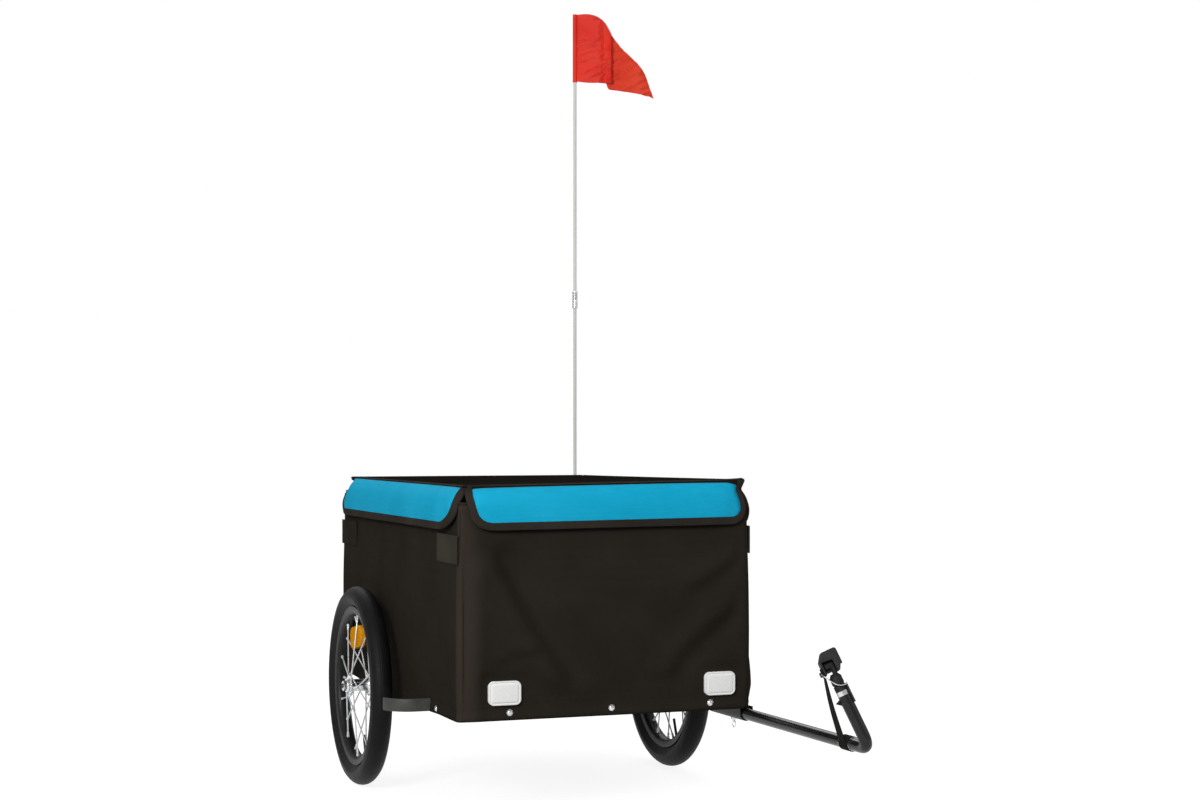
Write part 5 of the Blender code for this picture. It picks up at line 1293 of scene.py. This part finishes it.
def make_head_web():
    """Ribbed web that closes the back of the coupler head between its cheeks."""
    places = (-0.0150, -0.006, 0.0, 0.007, 0.013)
    rows = []
    for up in (-0.002, 0.0, 0.004, 0.008, 0.012, 0.0165, 0.021):
        back = 0.0105 + 0.0006 * (round(up * 1000) % 8 == 0)
        rows.append([PIN_AT + ACROSS * a + TIP * up + BACK * back for a in places])
    add_piece("head_web", drawn(add_grid, rows), PLASTIC, "hitch_head", thick=0.0016)


def make_arm():
    """Round tow arm with a smooth bend, and the pointed lug on its tip."""
    gap = TUBE_END - TIP * 0.05 - LOCK_AT
    flat = Vector((ARM_WAY.x, ARM_WAY.y, 0.0)).normalized()
    corner = LOCK_AT + ARM_WAY * (gap.dot(flat) - TIP.dot(flat) * gap.z / TIP.z) / ARM_WAY.dot(flat)
    start = LOCK_AT - ARM_WAY * ARM_BEHIND_PIN
    points = [start, corner - ARM_WAY * ARM_BEND]
    for t in spread(0.0, 1.0, 16)[1:-1]:
        side_a = corner - ARM_WAY * ARM_BEND * (1 - t)
        side_b = corner + TIP * ARM_BEND * t
        points.append(side_a.lerp(side_b, t))
    points += [corner + TIP * ARM_BEND, TUBE_END]
    bm = drawn(add_tube, points, ARM_RADIUS, 32, X)
    root = TUBE_END - TIP * LUG_FOOT - ACROSS * (ARM_RADIUS - 0.001)
    outline = [root, root + TIP * LUG_LENGTH, root + TIP * LUG_POINT_UP - ACROSS * LUG_POINT_OUT]
    add_loft(bm, [[place + BACK * side * LUG_HALF for place in outline] for side in (-1, 1)])
    add_piece("arm_tube", bm, PAINT, "trailer", "tow_arm")


def make_head_bolt():
    """Small round bolt head on the coupler head's outer cheek."""
    place = PIN_AT + ACROSS * 0.0199 + TIP * 0.0073
    profile = [(0.0, 0.0), (0.0034, 0.0), (0.0034, 0.0012), (0.0026, 0.0020), (0.0, 0.0022)]
    bm = drawn(add_lathe, profile, axis_matrix(place, ACROSS), 18, False)
    add_piece("head_bolt", bm, PAINT, "hitch_head")


# Flag

POLE_LOW, POLE_HIGH = corners("pole_upper")
POLE_AT = (POLE_LOW + POLE_HIGH) / 2
POLE_TOP_Z = POLE_HIGH.z
POLE_RADIUS = 0.0038
FERRULE_HALF = 0.0195
SLEEVE_LENGTH = 0.157
FLAG_WAY = Vector((0.930, -0.367, 0.0)).normalized()
FLAG_SIDE = Vector((-FLAG_WAY.y, FLAG_WAY.x, 0.0))
# Columns of the flag: distance from the pole, drop of its top and bottom edges, and sway
FLAG_NEAR = [(0.000, 0.001, 0.155, 0.000), (0.020, 0.001, 0.158, -0.004), (0.036, 0.003, 0.159, -0.006),
             (0.054, 0.010, 0.159, -0.003), (0.066, 0.020, 0.159, 0.002), (0.074, 0.034, 0.159, -0.002),
             (0.080, 0.046, 0.160, -0.007)]
FLAG_FAR = [(0.050, 0.014, 0.150, -0.0024), (0.066, 0.028, 0.157, 0.002), (0.0735, 0.038, 0.172, 0.004),
            (0.086, 0.054, 0.174, 0.008), (0.104, 0.078, 0.177, 0.006), (0.126, 0.100, 0.181, 0.001),
            (0.144, 0.118, 0.184, 0.000), (0.158, 0.140, 0.188, 0.003), (0.168, 0.168, 0.190, 0.005),
            (0.177, 0.1925, 0.1945, 0.005)]
FLAG_STEPS = 60
WRINKLE = 0.0024
CREASE = 0.0042


def flag_rows(columns, count):
    """Points of a stretch of the flag, column by column."""
    rows = []
    for share in spread(0.0, 1.0, count):
        out, top, bottom, sway = curve_through(columns, share)
        column = []
        for drop in spread(top, bottom, FLAG_STEPS):
            wrinkle = noise.noise(Vector((out * 38.0, drop * 60.0 - out * 25.0, 1.0))) * WRINKLE
            crease = noise.noise(Vector((out * 20.0, drop * 62.0 + out * 30.0, 5.0)))
            wrinkle -= CREASE * max(0.0, 1 - 2.6 * abs(crease)) ** 3
            wrinkle *= min(1.0, out / 0.01)
            place = Vector((POLE_AT.x, POLE_AT.y, POLE_TOP_Z - drop))
            column.append(place + FLAG_WAY * (out + POLE_RADIUS) + FLAG_SIDE * (sway + wrinkle))
        rows.append(column)
    return rows


def make_flag_part(name, columns, count, finish, node=None):
    rows = flag_rows(columns, count)
    part = add_piece(name, drawn(add_grid, rows), finish, "upper_pole", node, 0.0006)


def pole_matrix(height):
    """A frame on the pole's axis, at a height."""
    return Matrix.Translation(Vector((POLE_AT.x, POLE_AT.y, height)))


def make_flag():
    """Both stretches of the flag, and its sleeve round the pole."""
    make_flag_part("flag_near", FLAG_NEAR, 36, FLAG_CLOTH, "flag")
    # The far stretch takes the red cloth with painted light
    make_flag_part("flag_far", FLAG_FAR, 40, FLAG_FAR_PAINTED_LIGHT)
    low, high = POLE_TOP_Z - SLEEVE_LENGTH, POLE_TOP_Z - 0.001
    r0, r1 = POLE_RADIUS + 0.0003, POLE_RADIUS + 0.0014
    bm = drawn(add_lathe, [(r0, low), (r1, low), (r1, high), (r0, high)], pole_matrix(0.0), 24)
    add_piece("flag_sleeve", bm, FLAG_CLOTH, "upper_pole")


def make_ferrule():
    """Metal sleeve with rolled ends on the joint of the pole."""
    r0, r1, half = 0.0053, 0.0059, FERRULE_HALF
    profile = mirrored([(r1 - 0.0001, 0.0), (r1, half - 0.004), (r1 + 0.0003, half - 0.002),
                        (r1, half - 0.0004), (r0, half)])
    bm = drawn(add_lathe, profile, pole_matrix(POLE_LOW.z + half), 28)
    add_piece("pole_ferrule", bm, STEEL, "upper_pole")


make_studio()
finish_nodes()
make_cover()
make_tub_walls()
make_tub_floor()
make_corner_seams()
for tab_end, tab_hand in QUARTERS:
    make_tab(tab_end, tab_hand)
make_rivets()
for lens_end, lens_hand in QUARTERS:
    make_box_reflector(lens_end, lens_hand)
for wheel_hand in SIDES:
    make_wheel(wheel_hand)
for guard_hand in SIDES:
    make_guard(guard_hand)
make_arm()
make_bracket()
make_head_web()
make_strap()
make_head_bolt()
soften(NODES["coupler_head"], 0.0022, 3)
make_flag()
make_ferrule()
